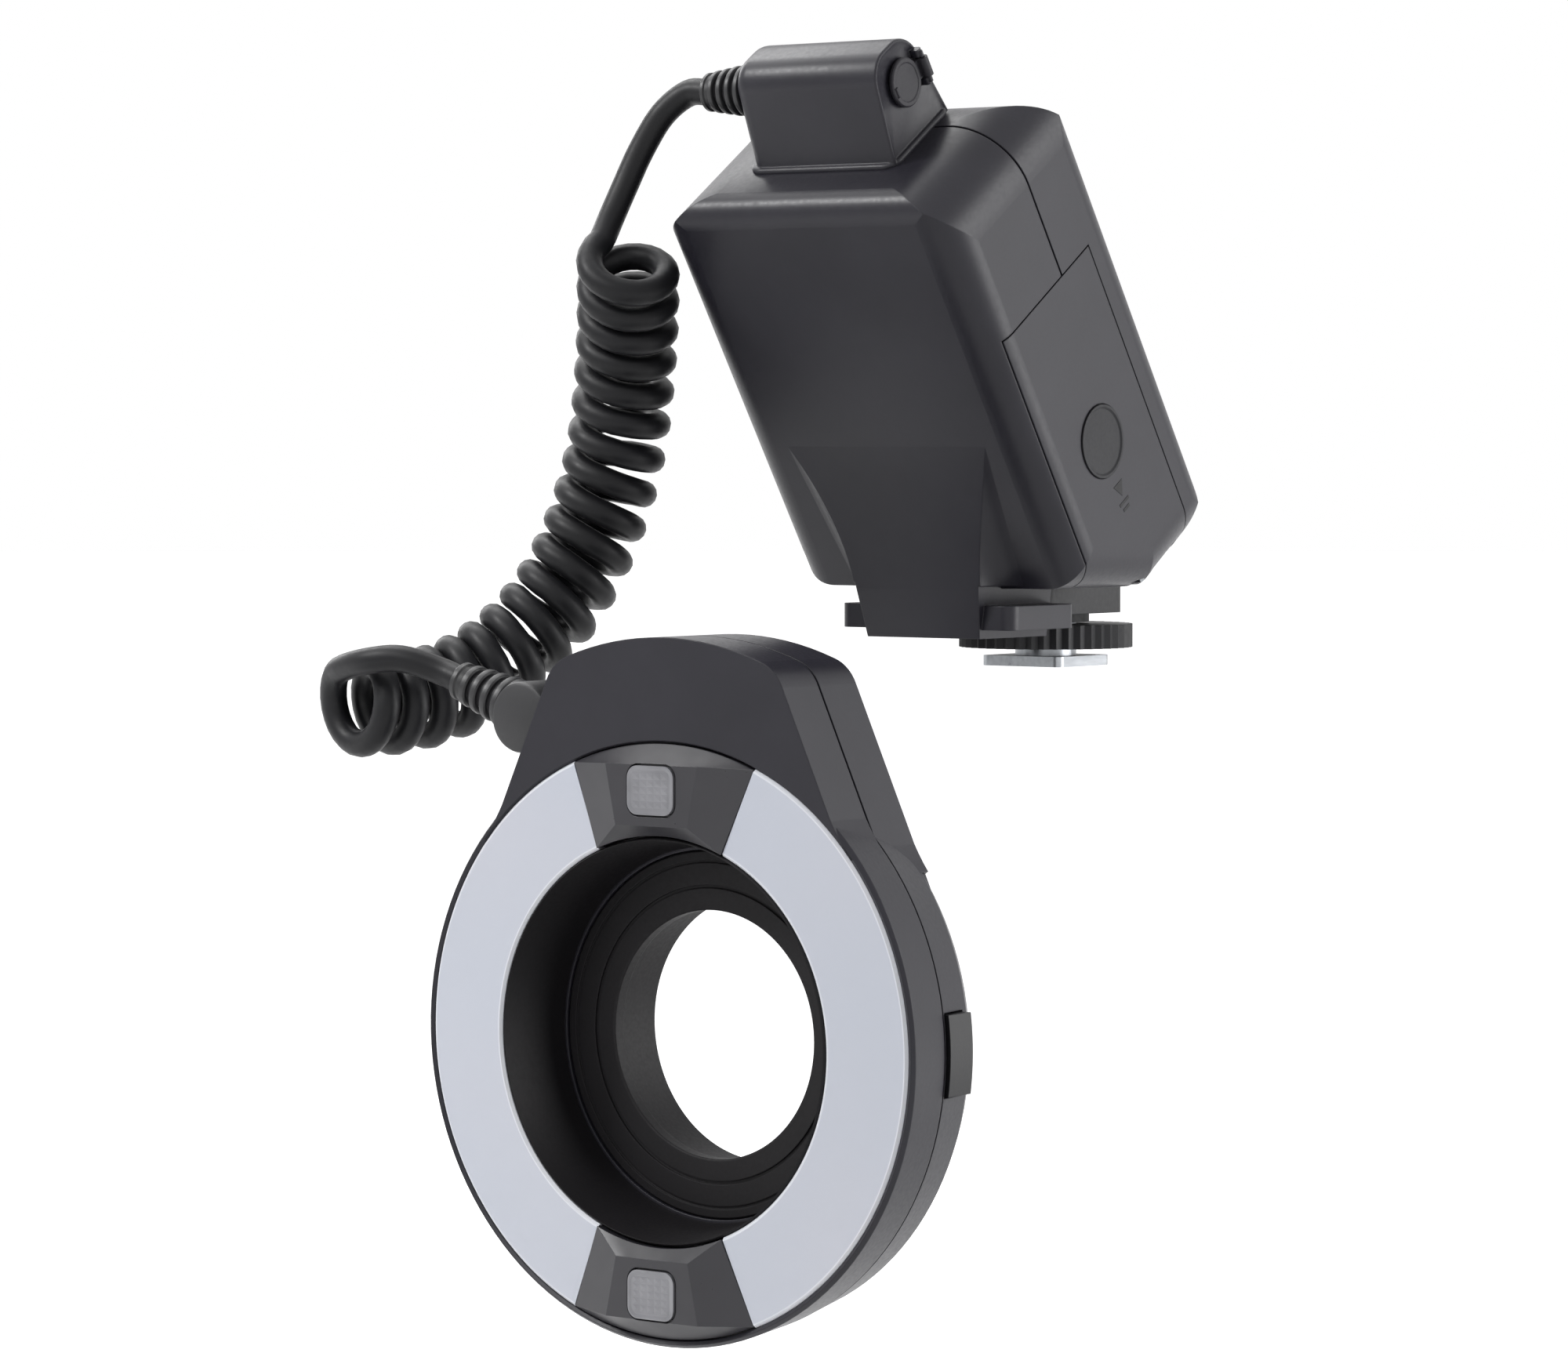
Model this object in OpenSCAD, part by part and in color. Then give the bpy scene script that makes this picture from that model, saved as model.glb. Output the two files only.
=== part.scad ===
// Macro ring flash: a ring-shaped flash head, a control unit that stands on a hot-shoe foot,
// and the curly cord between them.
// The origin is the centre of the foot's underside. X points to the right as seen from the front,
// Y to the back and Z up. Lengths are in millimetres and angles in degrees.

/* [Control unit] */
// Width of the housing
unit_w = 66; // [62:1:76]
// Thickness from the front face to the rear face
unit_t = 46; // [44:1:52]
// Length of the housing along its leaning axis
unit_l = 101; // [99:1:112]
// Forward lean of the housing
lean = 34; // [31:1:36]
// Wall of the housing shells
wall = 2; // [1.6:0.1:2.4]
// Radius of the long front edges
front_r = 7; // [4:0.5:9]
// Radius of the long rear edges
rear_r = 6; // [4:0.5:8]
// Radius of the shoulder between the top and the rear face
shoulder_r = 18; // [10:0.5:19]
// Radius of the heel between the bottom and the rear face
heel_r = 16.5; // [8:0.5:18]
// Radius of the upper corners as seen from the front
corner_r = 13; // [6:0.5:15]
// Depth of the joint between front and rear shell behind the front face
seam_y = 26; // [22:0.5:29]
// Height of the flat belly above the foot's underside
belly_z = 16; // [15:0.5:18]

/* [Pedestal and foot] */
// Width of the pedestal where it leaves the front face
pedestal_top_w = 36; // [32:1:42]
// Width of the pedestal at its lower edge
pedestal_low_w = 26; // [22:1:30]
// Width of the hot-shoe foot plate
foot_w = 18.6; // [18.4:0.1:18.7]
// Length of the hot-shoe foot plate
foot_l = 18; // [16:0.5:20]
// Thickness of the hot-shoe foot plate
foot_t = 2; // [1.8:0.1:2.2]
// Room for the rail of a hot shoe between plate and wheel
rail_gap = 1.6; // [1.5:0.1:2]
// Radius of the lock wheel
wheel_r = 17; // [15:0.5:18]
// Thickness of the lock wheel
wheel_t = 4.6; // [4:0.1:5]
// Number of grip teeth on the lock wheel
wheel_teeth = 44; // [30:2:60]
// Travel of the lock pin
pin_travel = 1.2; // [0.8:0.1:1.5]

/* [Battery bay] */
// Diameter of a battery cell
cell_d = 14.2; // [13.8:0.1:14.5]
// Length of a battery cell
cell_l = 50; // [48:0.5:50.5]
// Width of the battery door
door_w = 32.6; // [31:0.2:34]
// Height of the upper edge of the battery door above the bottom of the housing
door_top = 68; // [60:1:72]
// Distance that the battery door slides down before it swings
door_slide = 4; // [3:0.5:4.5]
// Radius of the thumb pad on the battery door
pad_r = 7; // [5:0.5:8]

/* [Cord head] */
// Width of the cord head
head_w = 33; // [30:1:38]
// Height of the cord head above the housing
head_h = 19.5; // [18:0.5:22]
// Radius of the socket cover
cover_r = 4.6; // [4:0.2:5]

/* [Rear panel] */
// Width of the display window
window_w = 42; // [36:1:46]
// Height of the display window
window_h = 26; // [22:1:27]
// Width of a small key
key_w = 7; // [5:0.5:8]
// Height of a small key
key_h = 4.4; // [3.5:0.1:5]
// Travel of a key
key_travel = 0.6; // [0.4:0.1:0.8]
// Travel of the power switch
switch_travel = 4; // [3:0.5:5]

/* [Ring head] */
// Distance of the ring's front plane in front of the foot
ring_ahead = 122; // [112:1:140]
// Distance of the ring's centre below the foot's underside
ring_drop = 63.5; // [60:0.5:70]
// Outer radius of the ring housing
ring_r = 55; // [54:0.5:58]
// Radius of the opening in the middle of the ring
opening_r = 36.7; // [36:0.1:37.5]
// Depth of the front shell
ring_seam = 10.5; // [10:0.5:12]
// Depth of the whole ring housing
ring_depth = 24; // [23:0.5:27]
// Wall of the ring shells
ring_wall = 1.8; // [1.4:0.1:2.2]
// Half angle that a lamp bridge takes up
bridge_half = 22.3; // [18:0.1:26]
// Height of a lamp bridge above the front plane
bridge_rise = 3.4; // [2.5:0.1:4.5]
// Height of the hump's top above the ring's edge
hump_rise = 17.4; // [15:0.2:20]
// Radius of the thread that screws into a lens
thread_r = 26; // [25:0.5:28]
// Travel of a release button
release_travel = 2; // [1.5:0.1:2.2]

/* [Cord] */
// Diameter of the cord
cord_d = 5.1; // [4.2:0.1:5.2]
// Radius of the curls at the middle of the cord
coil_r = 7.2; // [6.6:0.1:7.6]
// Number of curls
coil_turns = 19; // [15:1:19]

/* [Fits] */
// Gap between pieces that move past each other
gap = 0.3; // [0.2:0.05:0.4]
// Radial clearance of a running fit
running_fit = 0.06; // [0.03:0.01:0.1]
// Clearance of a piece that is set into another
seat_fit = 0.1; // [0.05:0.05:0.15]

/* [Hidden] */
$fn = 72;

// Colours of the finishes
charcoal = "#45444b";
black = "#1c1c1f";
rubber = "#242427";
frosted = "#cfd3d9";
lens_grey = "#9a9a9e";
steel = "#b9bcc0";
brass = "#b8975a";
mirror_metal = "#d5d8db";
board_green = "#2f5d3a";
display_glass = "#5d6660";

// Frames: the leaning control unit and the ring
unit_at = [0, -27.4, 3.3];
ring_at = [0, -ring_ahead, -ring_drop];
half_w = unit_w / 2;

module unit_frame() {
    translate(unit_at) rotate([lean, 0, 0]) children();
}

module level_in_unit() {
    rotate([-lean, 0, 0]) translate(-unit_at) children();
}

module ring_frame() {
    translate(ring_at) children();
}

// Shapes drawn in one plane and carried along an axis
module along_y(y0, y1) {
    translate([0, y1, 0]) rotate([90, 0, 0]) linear_extrude(y1 - y0) children();
}

module along_x(x0, x1) {
    translate([x0, 0, 0]) rotate([90, 0, 90]) linear_extrude(x1 - x0) children();
}

module revolve_y() {
    rotate([-90, 0, 0]) rotate_extrude() children();
}

module sector_y(middle, angle) {
    rotate([-90, 0, 0]) rotate([0, 0, middle - angle / 2]) rotate_extrude(angle = angle) children();
}

module rod_x(r, x0, x1, y, z) {
    translate([x0, y, z]) rotate([0, 90, 0]) cylinder(r = r, h = x1 - x0);
}

module rod_y(r, x, y0, y1, z) {
    translate([x, y0, z]) rotate([-90, 0, 0]) cylinder(r = r, h = y1 - y0);
}

module rod_z(r, x, y, z0, z1) {
    translate([x, y, z0]) cylinder(r = r, h = z1 - z0);
}

module block(low, high) {
    translate(low) cube(high - low);
}

// A convex outline, counter-clockwise, with each corner rounded by a true arc.
// Between slanting lines an arc stands out by a slack, so that it crosses them.
arc_slack = 0.004;
function unit2(v) = v / norm(v);

module rounded(points, radii, slack = 0) {
    n = len(points);
    corners = [
        for (i = [0 : n - 1])
            let (
                p = points[i],
                a = unit2(points[(i + n - 1) % n] - p),
                b = unit2(points[(i + 1) % n] - p),
                half = acos(a * b) / 2
            )
            [
                p + a * radii[i] / tan(half),
                p + b * radii[i] / tan(half),
                p + unit2(a + b) * radii[i] / sin(half)
            ]
    ];
    polygon([for (c = corners) each [c[0], c[1]]]);
    for (i = [0 : n - 1])
        translate(corners[i][2]) circle(radii[i] + slack);
}

module rounded_box(x, y, r) {
    rounded([[-x / 2, -y / 2], [x / 2, -y / 2], [x / 2, y / 2], [-x / 2, y / 2]], [r, r, r, r]);
}

// Control unit: the rounded slab that both shells are cut from, shrunk by an inset
brow_r = 5;
low_corner_r = 9;
belly_corner_r = 8;
belly_bend_r = 14;
edge_min_r = 1;

function shrunk(r, inset) = max(r - inset, edge_min_r);
// Height of the belly plane at a depth, and the depth where it meets the bottom
function belly_at(y, lift) = (belly_z + lift - unit_at[2] - sin(lean) * y) / cos(lean);
function belly_meets(inset) = (belly_z + inset - unit_at[2] - cos(lean) * inset) / sin(lean);
heel_fit = min(heel_r, unit_t - belly_meets(0) - belly_bend_r * tan(lean / 2) - 1);

// What is cut off where the belly bends up into the bottom
module belly_bend(inset) {
    r = belly_bend_r - inset;
    middle = [belly_meets(belly_bend_r), belly_bend_r];
    difference() {
        polygon([middle, middle - 2 * r * [sin(lean), cos(lean)], middle - [0, 2 * r]]);
        translate(middle) circle(r + arc_slack);
    }
}

module slab(inset) {
    w = half_w - inset;
    far = unit_t - inset;
    top = unit_l - inset;
    low = shrunk(low_corner_r, inset);
    upper = shrunk(corner_r, inset);
    belly = shrunk(belly_corner_r, inset);
    difference() {
        intersection() {
            along_x(-w, w)
                rounded(
                    [[inset, inset], [far, inset], [far, top], [inset, top]],
                    [edge_min_r, shrunk(heel_fit, inset), shrunk(shoulder_r, inset), shrunk(brow_r, inset)]
                );
            along_y(-wall, unit_t + wall)
                rounded([[-w, inset], [w, inset], [w, top], [-w, top]], [low, low, upper, upper]);
            linear_extrude(unit_l)
                rounded(
                    [[-w, inset], [w, inset], [w, far], [-w, far]],
                    [shrunk(front_r, inset), shrunk(front_r, inset), shrunk(rear_r, inset), shrunk(rear_r, inset)]
                );
            level_in_unit() along_y(-2 * unit_l, unit_l)
                rounded(
                    [[-w, belly_z + inset], [w, belly_z + inset], [w, 2 * unit_l], [-w, 2 * unit_l]],
                    [belly, belly, edge_min_r, edge_min_r]
                );
        }
        along_x(-unit_w, unit_w) belly_bend(inset);
    }
}

// Places along the housing, in the leaning frame
display_t = 3.6;
board_t = 1.6;
board_y = unit_t - wall - display_t - board_t;
bay_y = (wall + board_y) / 2;
cell_web = 1;
box_t = 2 * cell_d + 3 * cell_web;
box_y0 = bay_y - box_t / 2;
box_z0 = belly_at(box_y0, wall) + gap;
cell_pitch = cell_d + cell_web;
cell_y = [for (side = [-1, 1]) bay_y + side * cell_pitch / 2];
cell_z = [for (row = [0, 1]) box_z0 + cell_web + cell_d / 2 + row * cell_pitch];
door_y = [bay_y - door_w / 2, bay_y + door_w / 2];
door_lap = 5.5;
hinge_room = 1.2;
door_axis = [half_w - 4.1, 2.5];
pad_z = cell_z[0] + cell_pitch * 0.8;
boss_r = 3;
window_z = unit_l - shoulder_r - window_h / 2;
key_row_z = window_z - window_h / 2 - 5.5;
boss_x = half_w - 8.4;
boss_z = [box_z0 + box_t + boss_r + 3.7, unit_l - shoulder_r - 4];

module boss_places() {
    for (x = [-boss_x, boss_x], z = boss_z)
        translate([x, 0, z]) children();
}

module door_outline(grow) {
    block(
        [half_w - door_lap - grow * hinge_room / gap, door_y[0] - grow, -wall],
        [unit_w, door_y[1] + grow, door_top + grow]
    );
}

// Pedestal in the level frame: a wedge that runs from the front face down to the foot.
// A wide arc blends its front into the front face, and narrow flares lead out of its sides.
pedestal_low_z = 6.5;
pedestal_front_y = -41.5;
pedestal_back_y = -wheel_r - 2;
pedestal_rise = 36.5;
pedestal_blend_r = 80;
pedestal_web = 6;
flare_r = 6;
crease = [unit_at[1] - sin(lean) * pedestal_rise, unit_at[2] + cos(lean) * pedestal_rise];
face_up = [-sin(lean), cos(lean)];
face_in = [cos(lean), sin(lean)];
front_down = unit2([pedestal_front_y, pedestal_low_z] - crease);
blend_half = acos(face_up * front_down) / 2;
blend_reach = pedestal_blend_r / tan(blend_half);
blend_at = crease + unit2(face_up + front_down) * pedestal_blend_r / sin(blend_half);
blend_top = crease + face_up * blend_reach;
pedestal_slope = (pedestal_top_w - pedestal_low_w) / 2 / (blend_top[1] - pedestal_low_z);
skirt_out = 7;
skirt_z = [8.2, 12.8];

module pedestal_side() {
    difference() {
        polygon([
            [pedestal_front_y, pedestal_low_z],
            [pedestal_back_y, pedestal_low_z],
            [pedestal_back_y, belly_z + wall / 2],
            blend_top + face_in * wall / 2,
            blend_top,
            crease + front_down * blend_reach
        ]);
        translate(blend_at) circle(pedestal_blend_r * 1.001);
    }
}

module pedestal_flare() {
    level_in_unit() intersection() {
        along_x(0, half_w) pedestal_side();
        block([0, -2 * unit_l, belly_z + wall / 4], [half_w, unit_l, 2 * unit_l]);
        unit_frame()
            translate([pedestal_low_w / 2 - pedestal_slope * (pedestal_low_z - unit_at[2]), 0, 0])
                rotate([0, atan(pedestal_slope * cos(lean)), 0])
                    linear_extrude(pedestal_rise + 3 * flare_r)
                        difference() {
                            translate([-1, -flare_r]) square([flare_r + 1, flare_r + wall / 2]);
                            translate([flare_r, -flare_r]) circle(flare_r * 1.01);
                        }
    }
}

module pedestal() {
    top_z = blend_top[1] + wall;
    top_half = pedestal_low_w / 2 + pedestal_slope * (top_z - pedestal_low_z);
    intersection() {
        along_x(-half_w, half_w) pedestal_side();
        along_y(blend_top[0] - 2 * wall, pedestal_back_y)
            polygon([
                [-pedestal_low_w / 2, pedestal_low_z], [pedestal_low_w / 2, pedestal_low_z],
                [top_half, top_z], [-top_half, top_z]
            ]);
    }
    skirt_y = [pedestal_front_y + 0.3, pedestal_back_y];
    skirt_w = pedestal_low_w + 2 * skirt_out;
    translate([0, (skirt_y[0] + skirt_y[1]) / 2, skirt_z[0]])
        linear_extrude(skirt_z[1] - skirt_z[0])
            rounded_box(skirt_w, skirt_y[1] - skirt_y[0], 2.5);
    block(
        [-pedestal_low_w / 2, pedestal_back_y - pedestal_web, skirt_z[0]],
        [pedestal_low_w / 2, pedestal_back_y, belly_z + wall / 2]
    );
}

// Groove along the joints of the shells
seam_w = 0.5;
seam_deep = 0.6;

module front_shell() {
    color(charcoal) unit_frame() difference() {
        union() {
            intersection() {
                slab(0);
                block([-unit_w, -wall, -wall], [unit_w, seam_y, 2 * unit_l]);
            }
            level_in_unit() pedestal();
            for (side = [0, 1])
                mirror([side, 0, 0]) pedestal_flare();
        }
        slab(wall);
        door_outline(gap);
    }
}

module rear_shell() {
    color(charcoal) unit_frame() difference() {
        union() {
            difference() {
                intersection() {
                    slab(0);
                    block([-unit_w, seam_y, -wall], [unit_w, unit_t + wall, 2 * unit_l]);
                }
                slab(wall);
                door_outline(gap);
                difference() {
                    block([-unit_w, seam_y - wall, -wall], [unit_w, seam_y + seam_w, 2 * unit_l]);
                    slab(seam_deep);
                }
            }
            boss_places() rod_y(boss_r, 0, seam_y, unit_t - wall / 2, 0);
        }
        boss_places() {
            rod_y(screw_r + seat_fit, 0, seam_y - wall, unit_t + wall, 0);
            rod_y(screw_head_r + seat_fit, 0, unit_t - screw_head_t - seat_fit, unit_t + wall, 0);
        }
        window_cut();
        for (k = keys)
            key_cut(k);
        switch_cut();
        rod_y(test_r + gap, test_at[0], unit_t - 2 * wall, unit_t + wall, test_at[1]);
    }
}

screw_r = 1.2;
screw_head_r = 2.2;
screw_head_t = 1;

module case_screws() {
    color(steel) unit_frame() boss_places() {
        rod_y(screw_r, 0, seam_y + wall, unit_t - screw_head_t, 0);
        rod_y(screw_head_r, 0, unit_t - screw_head_t, unit_t, 0);
    }
}

// Rear panel: display, keys, power switch and test button
window_t = 1.2;
key_out = 0.8;
key_in = 1.4;
key_step = key_w + 3;
select_z = key_row_z - 13;
select_step = 11.5;
// Place across, place up, width and height of each key
keys = concat(
    [for (i = [0 : 3]) [(i - 1.5) * key_step, key_row_z, key_w, key_h]],
    [for (i = [-1 : 1]) [i * select_step, select_z, key_w + 2, key_h + 2.2]]
);
control_z = select_z - 15;
switch_at = [-11, control_z];
switch_w = 6;
switch_h = 4;
test_at = [11, control_z];
test_r = 4;

module window_cut() {
    translate([0, 0, window_z]) {
        along_y(unit_t - window_t + 0.2, unit_t + wall)
            rounded_box(window_w + 2 * seat_fit, window_h + 2 * seat_fit, 2);
        along_y(unit_t - 2 * wall, unit_t + wall) rounded_box(window_w - 4, window_h - 4, 1);
    }
}

module display_window() {
    color(display_glass) unit_frame() translate([0, 0, window_z])
        along_y(unit_t - window_t + 0.2, unit_t + 0.2) rounded_box(window_w, window_h, 2 - seat_fit);
}

module display_module() {
    color("#8d9a8f") unit_frame()
        block(
            [-window_w / 2 + 1, board_y + board_t, window_z - window_h / 2 + 1],
            [window_w / 2 - 1, unit_t - wall, window_z + window_h / 2 - 1]
        );
}

module key_cut(k) {
    translate([k[0], 0, k[1]])
        along_y(unit_t - 2 * wall, unit_t + wall) rounded_box(k[2] + 2 * gap, k[3] + 2 * gap, 1 + gap);
}

module key_piece(k) {
    color(black) unit_frame() translate([k[0], 0, k[1]])
        along_y(unit_t - wall - key_in, unit_t + key_out) rounded_box(k[2], k[3], 1);
}

module light_button() {
    key_piece(keys[0]);
}

module mode_button() {
    key_piece(keys[1]);
}

module sync_button() {
    key_piece(keys[2]);
}

module ratio_button() {
    key_piece(keys[3]);
}

module minus_button() {
    key_piece(keys[4]);
}

module set_button() {
    key_piece(keys[5]);
}

module plus_button() {
    key_piece(keys[6]);
}

module switch_cut() {
    translate([switch_at[0] + switch_travel / 2, 0, switch_at[1]])
        along_y(unit_t - 2 * wall, unit_t + wall)
            rounded_box(switch_w + switch_travel + 2 * gap, switch_h + 2 * gap, 1);
}

module power_switch() {
    color(black) unit_frame() translate([switch_at[0], 0, switch_at[1]]) difference() {
        along_y(unit_t - wall - key_in, unit_t + 1.2) rounded_box(switch_w, switch_h, 1);
        for (i = [-1 : 1])
            block([i * 1.6 - 0.35, unit_t + 0.7, -switch_h], [i * 1.6 + 0.35, unit_t + wall, switch_h]);
    }
}

module test_button() {
    color("#7a2f2b") unit_frame()
        rod_y(test_r, test_at[0], unit_t - wall - key_in, unit_t + key_out, test_at[1]);
}

// Electronics in the control unit
capacitor_r = 9.5;
capacitor_l = 42;
capacitor_z = box_z0 + box_t + capacitor_r + 1.5;
transformer_z = capacitor_z + capacitor_r + 2;

module main_board() {
    color(board_green) unit_frame() difference() {
        block(
            [-half_w + 6, board_y, cell_z[0]],
            [half_w - 6, board_y + board_t, unit_l - wall - shoulder_r * 0.4]
        );
        boss_places() rod_y(boss_r + gap, 0, seam_y, unit_t, 0);
    }
}

module flash_capacitor() {
    color("#2b2f45") unit_frame()
        rod_x(capacitor_r, -capacitor_l / 2, capacitor_l / 2, board_y - capacitor_r - gap, capacitor_z);
}

module step_up_transformer() {
    color("#6b5a3a") unit_frame()
        block([-8, board_y - 12, transformer_z], [8, board_y, transformer_z + 11]);
}

// Battery bay
box_left = -half_w + wall;
cell_x0 = half_w - wall - 3 - cell_l;
contact_t = 0.8;
guide_x = [half_w - 12, half_w - 7.6];
hinge_y = [bay_y + 4, bay_y + 13];
hinge_z = 14.2;

module battery_box() {
    color(black) unit_frame() difference() {
        union() {
            intersection() {
                slab(wall + gap / 2);
                block([box_left, box_y0, box_z0], [cell_x0 + cell_l - 1, box_y0 + box_t, box_z0 + box_t]);
            }
            block(
                [box_left, box_y0 + box_t / 4, box_z0 + box_t / 3],
                [box_left + 1, box_y0 + 3 * box_t / 4, box_z0 + 2 * box_t / 3]
            );
            block([guide_x[0], hinge_y[0], 6.5], [guide_x[1], hinge_y[1], box_z0 + cell_web]);
        }
        for (y = cell_y, z = cell_z)
            rod_x(cell_d / 2 + seat_fit, cell_x0 - contact_t - seat_fit, half_w, y, z);
    }
}

module battery_cells() {
    color("#8a8f96") unit_frame() for (i = [0, 1], j = [0, 1]) {
        nub = (i + j) % 2 == 0 ? 1 : -1;
        body_x0 = nub > 0 ? cell_x0 : cell_x0 + 1.2;
        rod_x(cell_d / 2, body_x0, body_x0 + cell_l - 1.2, cell_y[i], cell_z[j]);
        rod_x(2.6, cell_x0, cell_x0 + cell_l, cell_y[i], cell_z[j]);
    }
}

module battery_contacts() {
    color(steel) unit_frame() for (y = cell_y, z = cell_z)
        rod_x(cell_d / 2 - 1.5, cell_x0 - contact_t - seat_fit, cell_x0 - seat_fit, y, z);
}

module door_contacts() {
    color(steel) unit_frame() for (y = cell_y)
        block(
            [cell_x0 + cell_l + gap, y - 5, cell_z[0] - 2.5],
            [half_w - wall, y + 5, cell_z[1] + 4.5]
        );
}

hinge_pin_r = 0.8;
knuckle_r = 1.8;
knuckle_w = 2.2;
strap_x = [half_w - 6, half_w - 4.6];
strap_low = door_slide + wall + 0.8;
plate_x = [guide_x[1] + gap, guide_x[1] + gap + 1.3];

module battery_door() {
    color(charcoal) unit_frame() difference() {
        union() {
            difference() {
                intersection() {
                    slab(0);
                    door_outline(0);
                }
                slab(wall);
            }
            intersection() {
                slab(0);
                rod_y(
                    knuckle_r, door_axis[0],
                    hinge_y[0] - knuckle_w - gap, hinge_y[1] + knuckle_w + gap, door_axis[1]
                );
            }
        }
        rod_y(hinge_pin_r + running_fit, door_axis[0], 0, unit_t, door_axis[1]);
        block(
            [0, hinge_y[0] - gap, -wall],
            [door_axis[0] + knuckle_r + gap, hinge_y[1] + gap, door_axis[1] + knuckle_r + gap]
        );
        rod_x(pad_r + seat_fit, half_w - 0.6, half_w + wall, bay_y, pad_z);
    }
}

module door_thumb_pad() {
    color(rubber) unit_frame() rod_x(pad_r, half_w - 0.6, half_w + 0.3, bay_y, pad_z);
}

module door_hinge() {
    color(black) unit_frame() difference() {
        union() {
            intersection() {
                slab(0.2);
                rod_y(knuckle_r, door_axis[0], hinge_y[0], hinge_y[1], door_axis[1]);
            }
            block([strap_x[0], hinge_y[0], door_axis[1]], [strap_x[1], hinge_y[1], strap_low + 1.4]);
            block([plate_x[0], hinge_y[0], strap_low], [strap_x[1], hinge_y[1], strap_low + 1.4]);
            block([plate_x[0], hinge_y[0], strap_low], [plate_x[1], hinge_y[1], hinge_z]);
        }
        rod_y(hinge_pin_r + seat_fit / 5, door_axis[0], 0, unit_t, door_axis[1]);
    }
}

module door_pin() {
    color(steel) unit_frame()
        rod_y(
            hinge_pin_r, door_axis[0],
            hinge_y[0] - knuckle_w - gap, hinge_y[1] + knuckle_w + gap, door_axis[1]
        );
}

// Cord head on the top face of the control unit
head_half = head_w / 2;
head_y = [12.2, 32.6];
head_top_y = [16, 29];
head_end_r = 4;
cover_at = [23, unit_l + 11.5];
cover_t = 1.3;
ear_w = 1.6;
ear_r = 1.2;
cover_axis = [head_half + gap + ear_r, cover_at[0] + cover_r + ear_r];
barrel_l = 4;
cover_pin_r = 0.5;
gland_at = [21, unit_l + 12.5];

head_rear_r = 6.5;
head_front_r = 5.5;
head_border = 1.3;

module head_profile(inset) {
    top = unit_l + head_h - inset;
    rounded(
        [
            [head_y[0] + inset, unit_l + inset], [head_y[1] - inset, unit_l + inset],
            [head_top_y[1] - inset, top], [head_top_y[0] + inset, top]
        ],
        [edge_min_r, edge_min_r, head_rear_r - inset, head_front_r - inset],
        arc_slack
    );
}

module cord_head() {
    color(charcoal) unit_frame() difference() {
        union() {
            difference() {
                intersection() {
                    along_x(-head_half, head_half) head_profile(0);
                    along_y(0, unit_t)
                        rounded(
                            [[-head_half, unit_l], [head_half, unit_l],
                             [head_half, unit_l + head_h], [-head_half, unit_l + head_h]],
                            [0.4, 0.4, 1.2, head_end_r]
                        );
                }
                along_x(head_half - 0.4, head_half + 1) head_profile(head_border);
            }
            for (side = [-1, 1]) {
                z0 = cover_at[1] + side * (barrel_l / 2 + gap + ear_w / 2) - ear_w / 2;
                rod_z(ear_r, cover_axis[0], cover_axis[1], z0, z0 + ear_w);
                block(
                    [head_half - 1, cover_axis[1] - ear_r, z0],
                    [cover_axis[0], cover_axis[1] + ear_r, z0 + ear_w]
                );
            }
            rod_z(
                cover_pin_r, cover_axis[0], cover_axis[1],
                cover_at[1] - barrel_l / 2 - gap - ear_w / 2, cover_at[1] + barrel_l / 2 + gap + ear_w / 2
            );
        }
        rod_x(socket_r + seat_fit, head_half - socket_l, head_half + 2 * cover_t, cover_at[0], cover_at[1]);
    }
}

socket_r = 3.4;
socket_l = 8;

module power_socket() {
    color(black) unit_frame() difference() {
        rod_x(socket_r, head_half - socket_l, head_half - 0.4, cover_at[0], cover_at[1]);
        for (a = [90, 210, 330])
            rod_x(
                0.6, head_half - socket_l / 2, head_half,
                cover_at[0] + 1.7 * cos(a), cover_at[1] + 1.7 * sin(a)
            );
    }
}

module socket_cover() {
    color(rubber) unit_frame() difference() {
        union() {
            rod_x(cover_r, head_half + gap, head_half + gap + cover_t, cover_at[0], cover_at[1]);
            rod_z(ear_r, cover_axis[0], cover_axis[1], cover_at[1] - barrel_l / 2, cover_at[1] + barrel_l / 2);
            block(
                [head_half + gap, cover_at[0] + cover_r / 2, cover_at[1] - barrel_l / 2],
                [head_half + gap + cover_t, cover_axis[1], cover_at[1] + barrel_l / 2]
            );
        }
        rod_z(cover_pin_r + running_fit, cover_axis[0], cover_axis[1], unit_l, unit_l + 2 * head_h);
    }
}

// Ribbed strain relief: a revolved profile that narrows from base to tip in steps
gland_l = 10;
gland_base_r = 5;
gland_tip_r = 3.7;
gland_ribs = 4;

module gland_profile(length) {
    pitch = length / (gland_ribs + 0.5);
    shrink = (gland_base_r - gland_tip_r) / gland_ribs;
    polygon(concat(
        [[0, 0]],
        [
            for (i = [0 : gland_ribs - 1])
                each [
                    [gland_base_r - i * shrink, i * pitch],
                    [gland_base_r - i * shrink, (i + 0.6) * pitch],
                    [gland_base_r - i * shrink - 0.9, (i + 0.6) * pitch],
                    [gland_base_r - i * shrink - 0.9, (i + 1) * pitch]
                ]
        ],
        [[gland_tip_r, gland_ribs * pitch], [gland_tip_r, length], [0, length]]
    ));
}

module head_gland() {
    color(black) unit_frame() translate([-head_half, gland_at[0], gland_at[1]])
        rotate([0, -90, 0]) rotate_extrude() gland_profile(gland_l);
}

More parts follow.
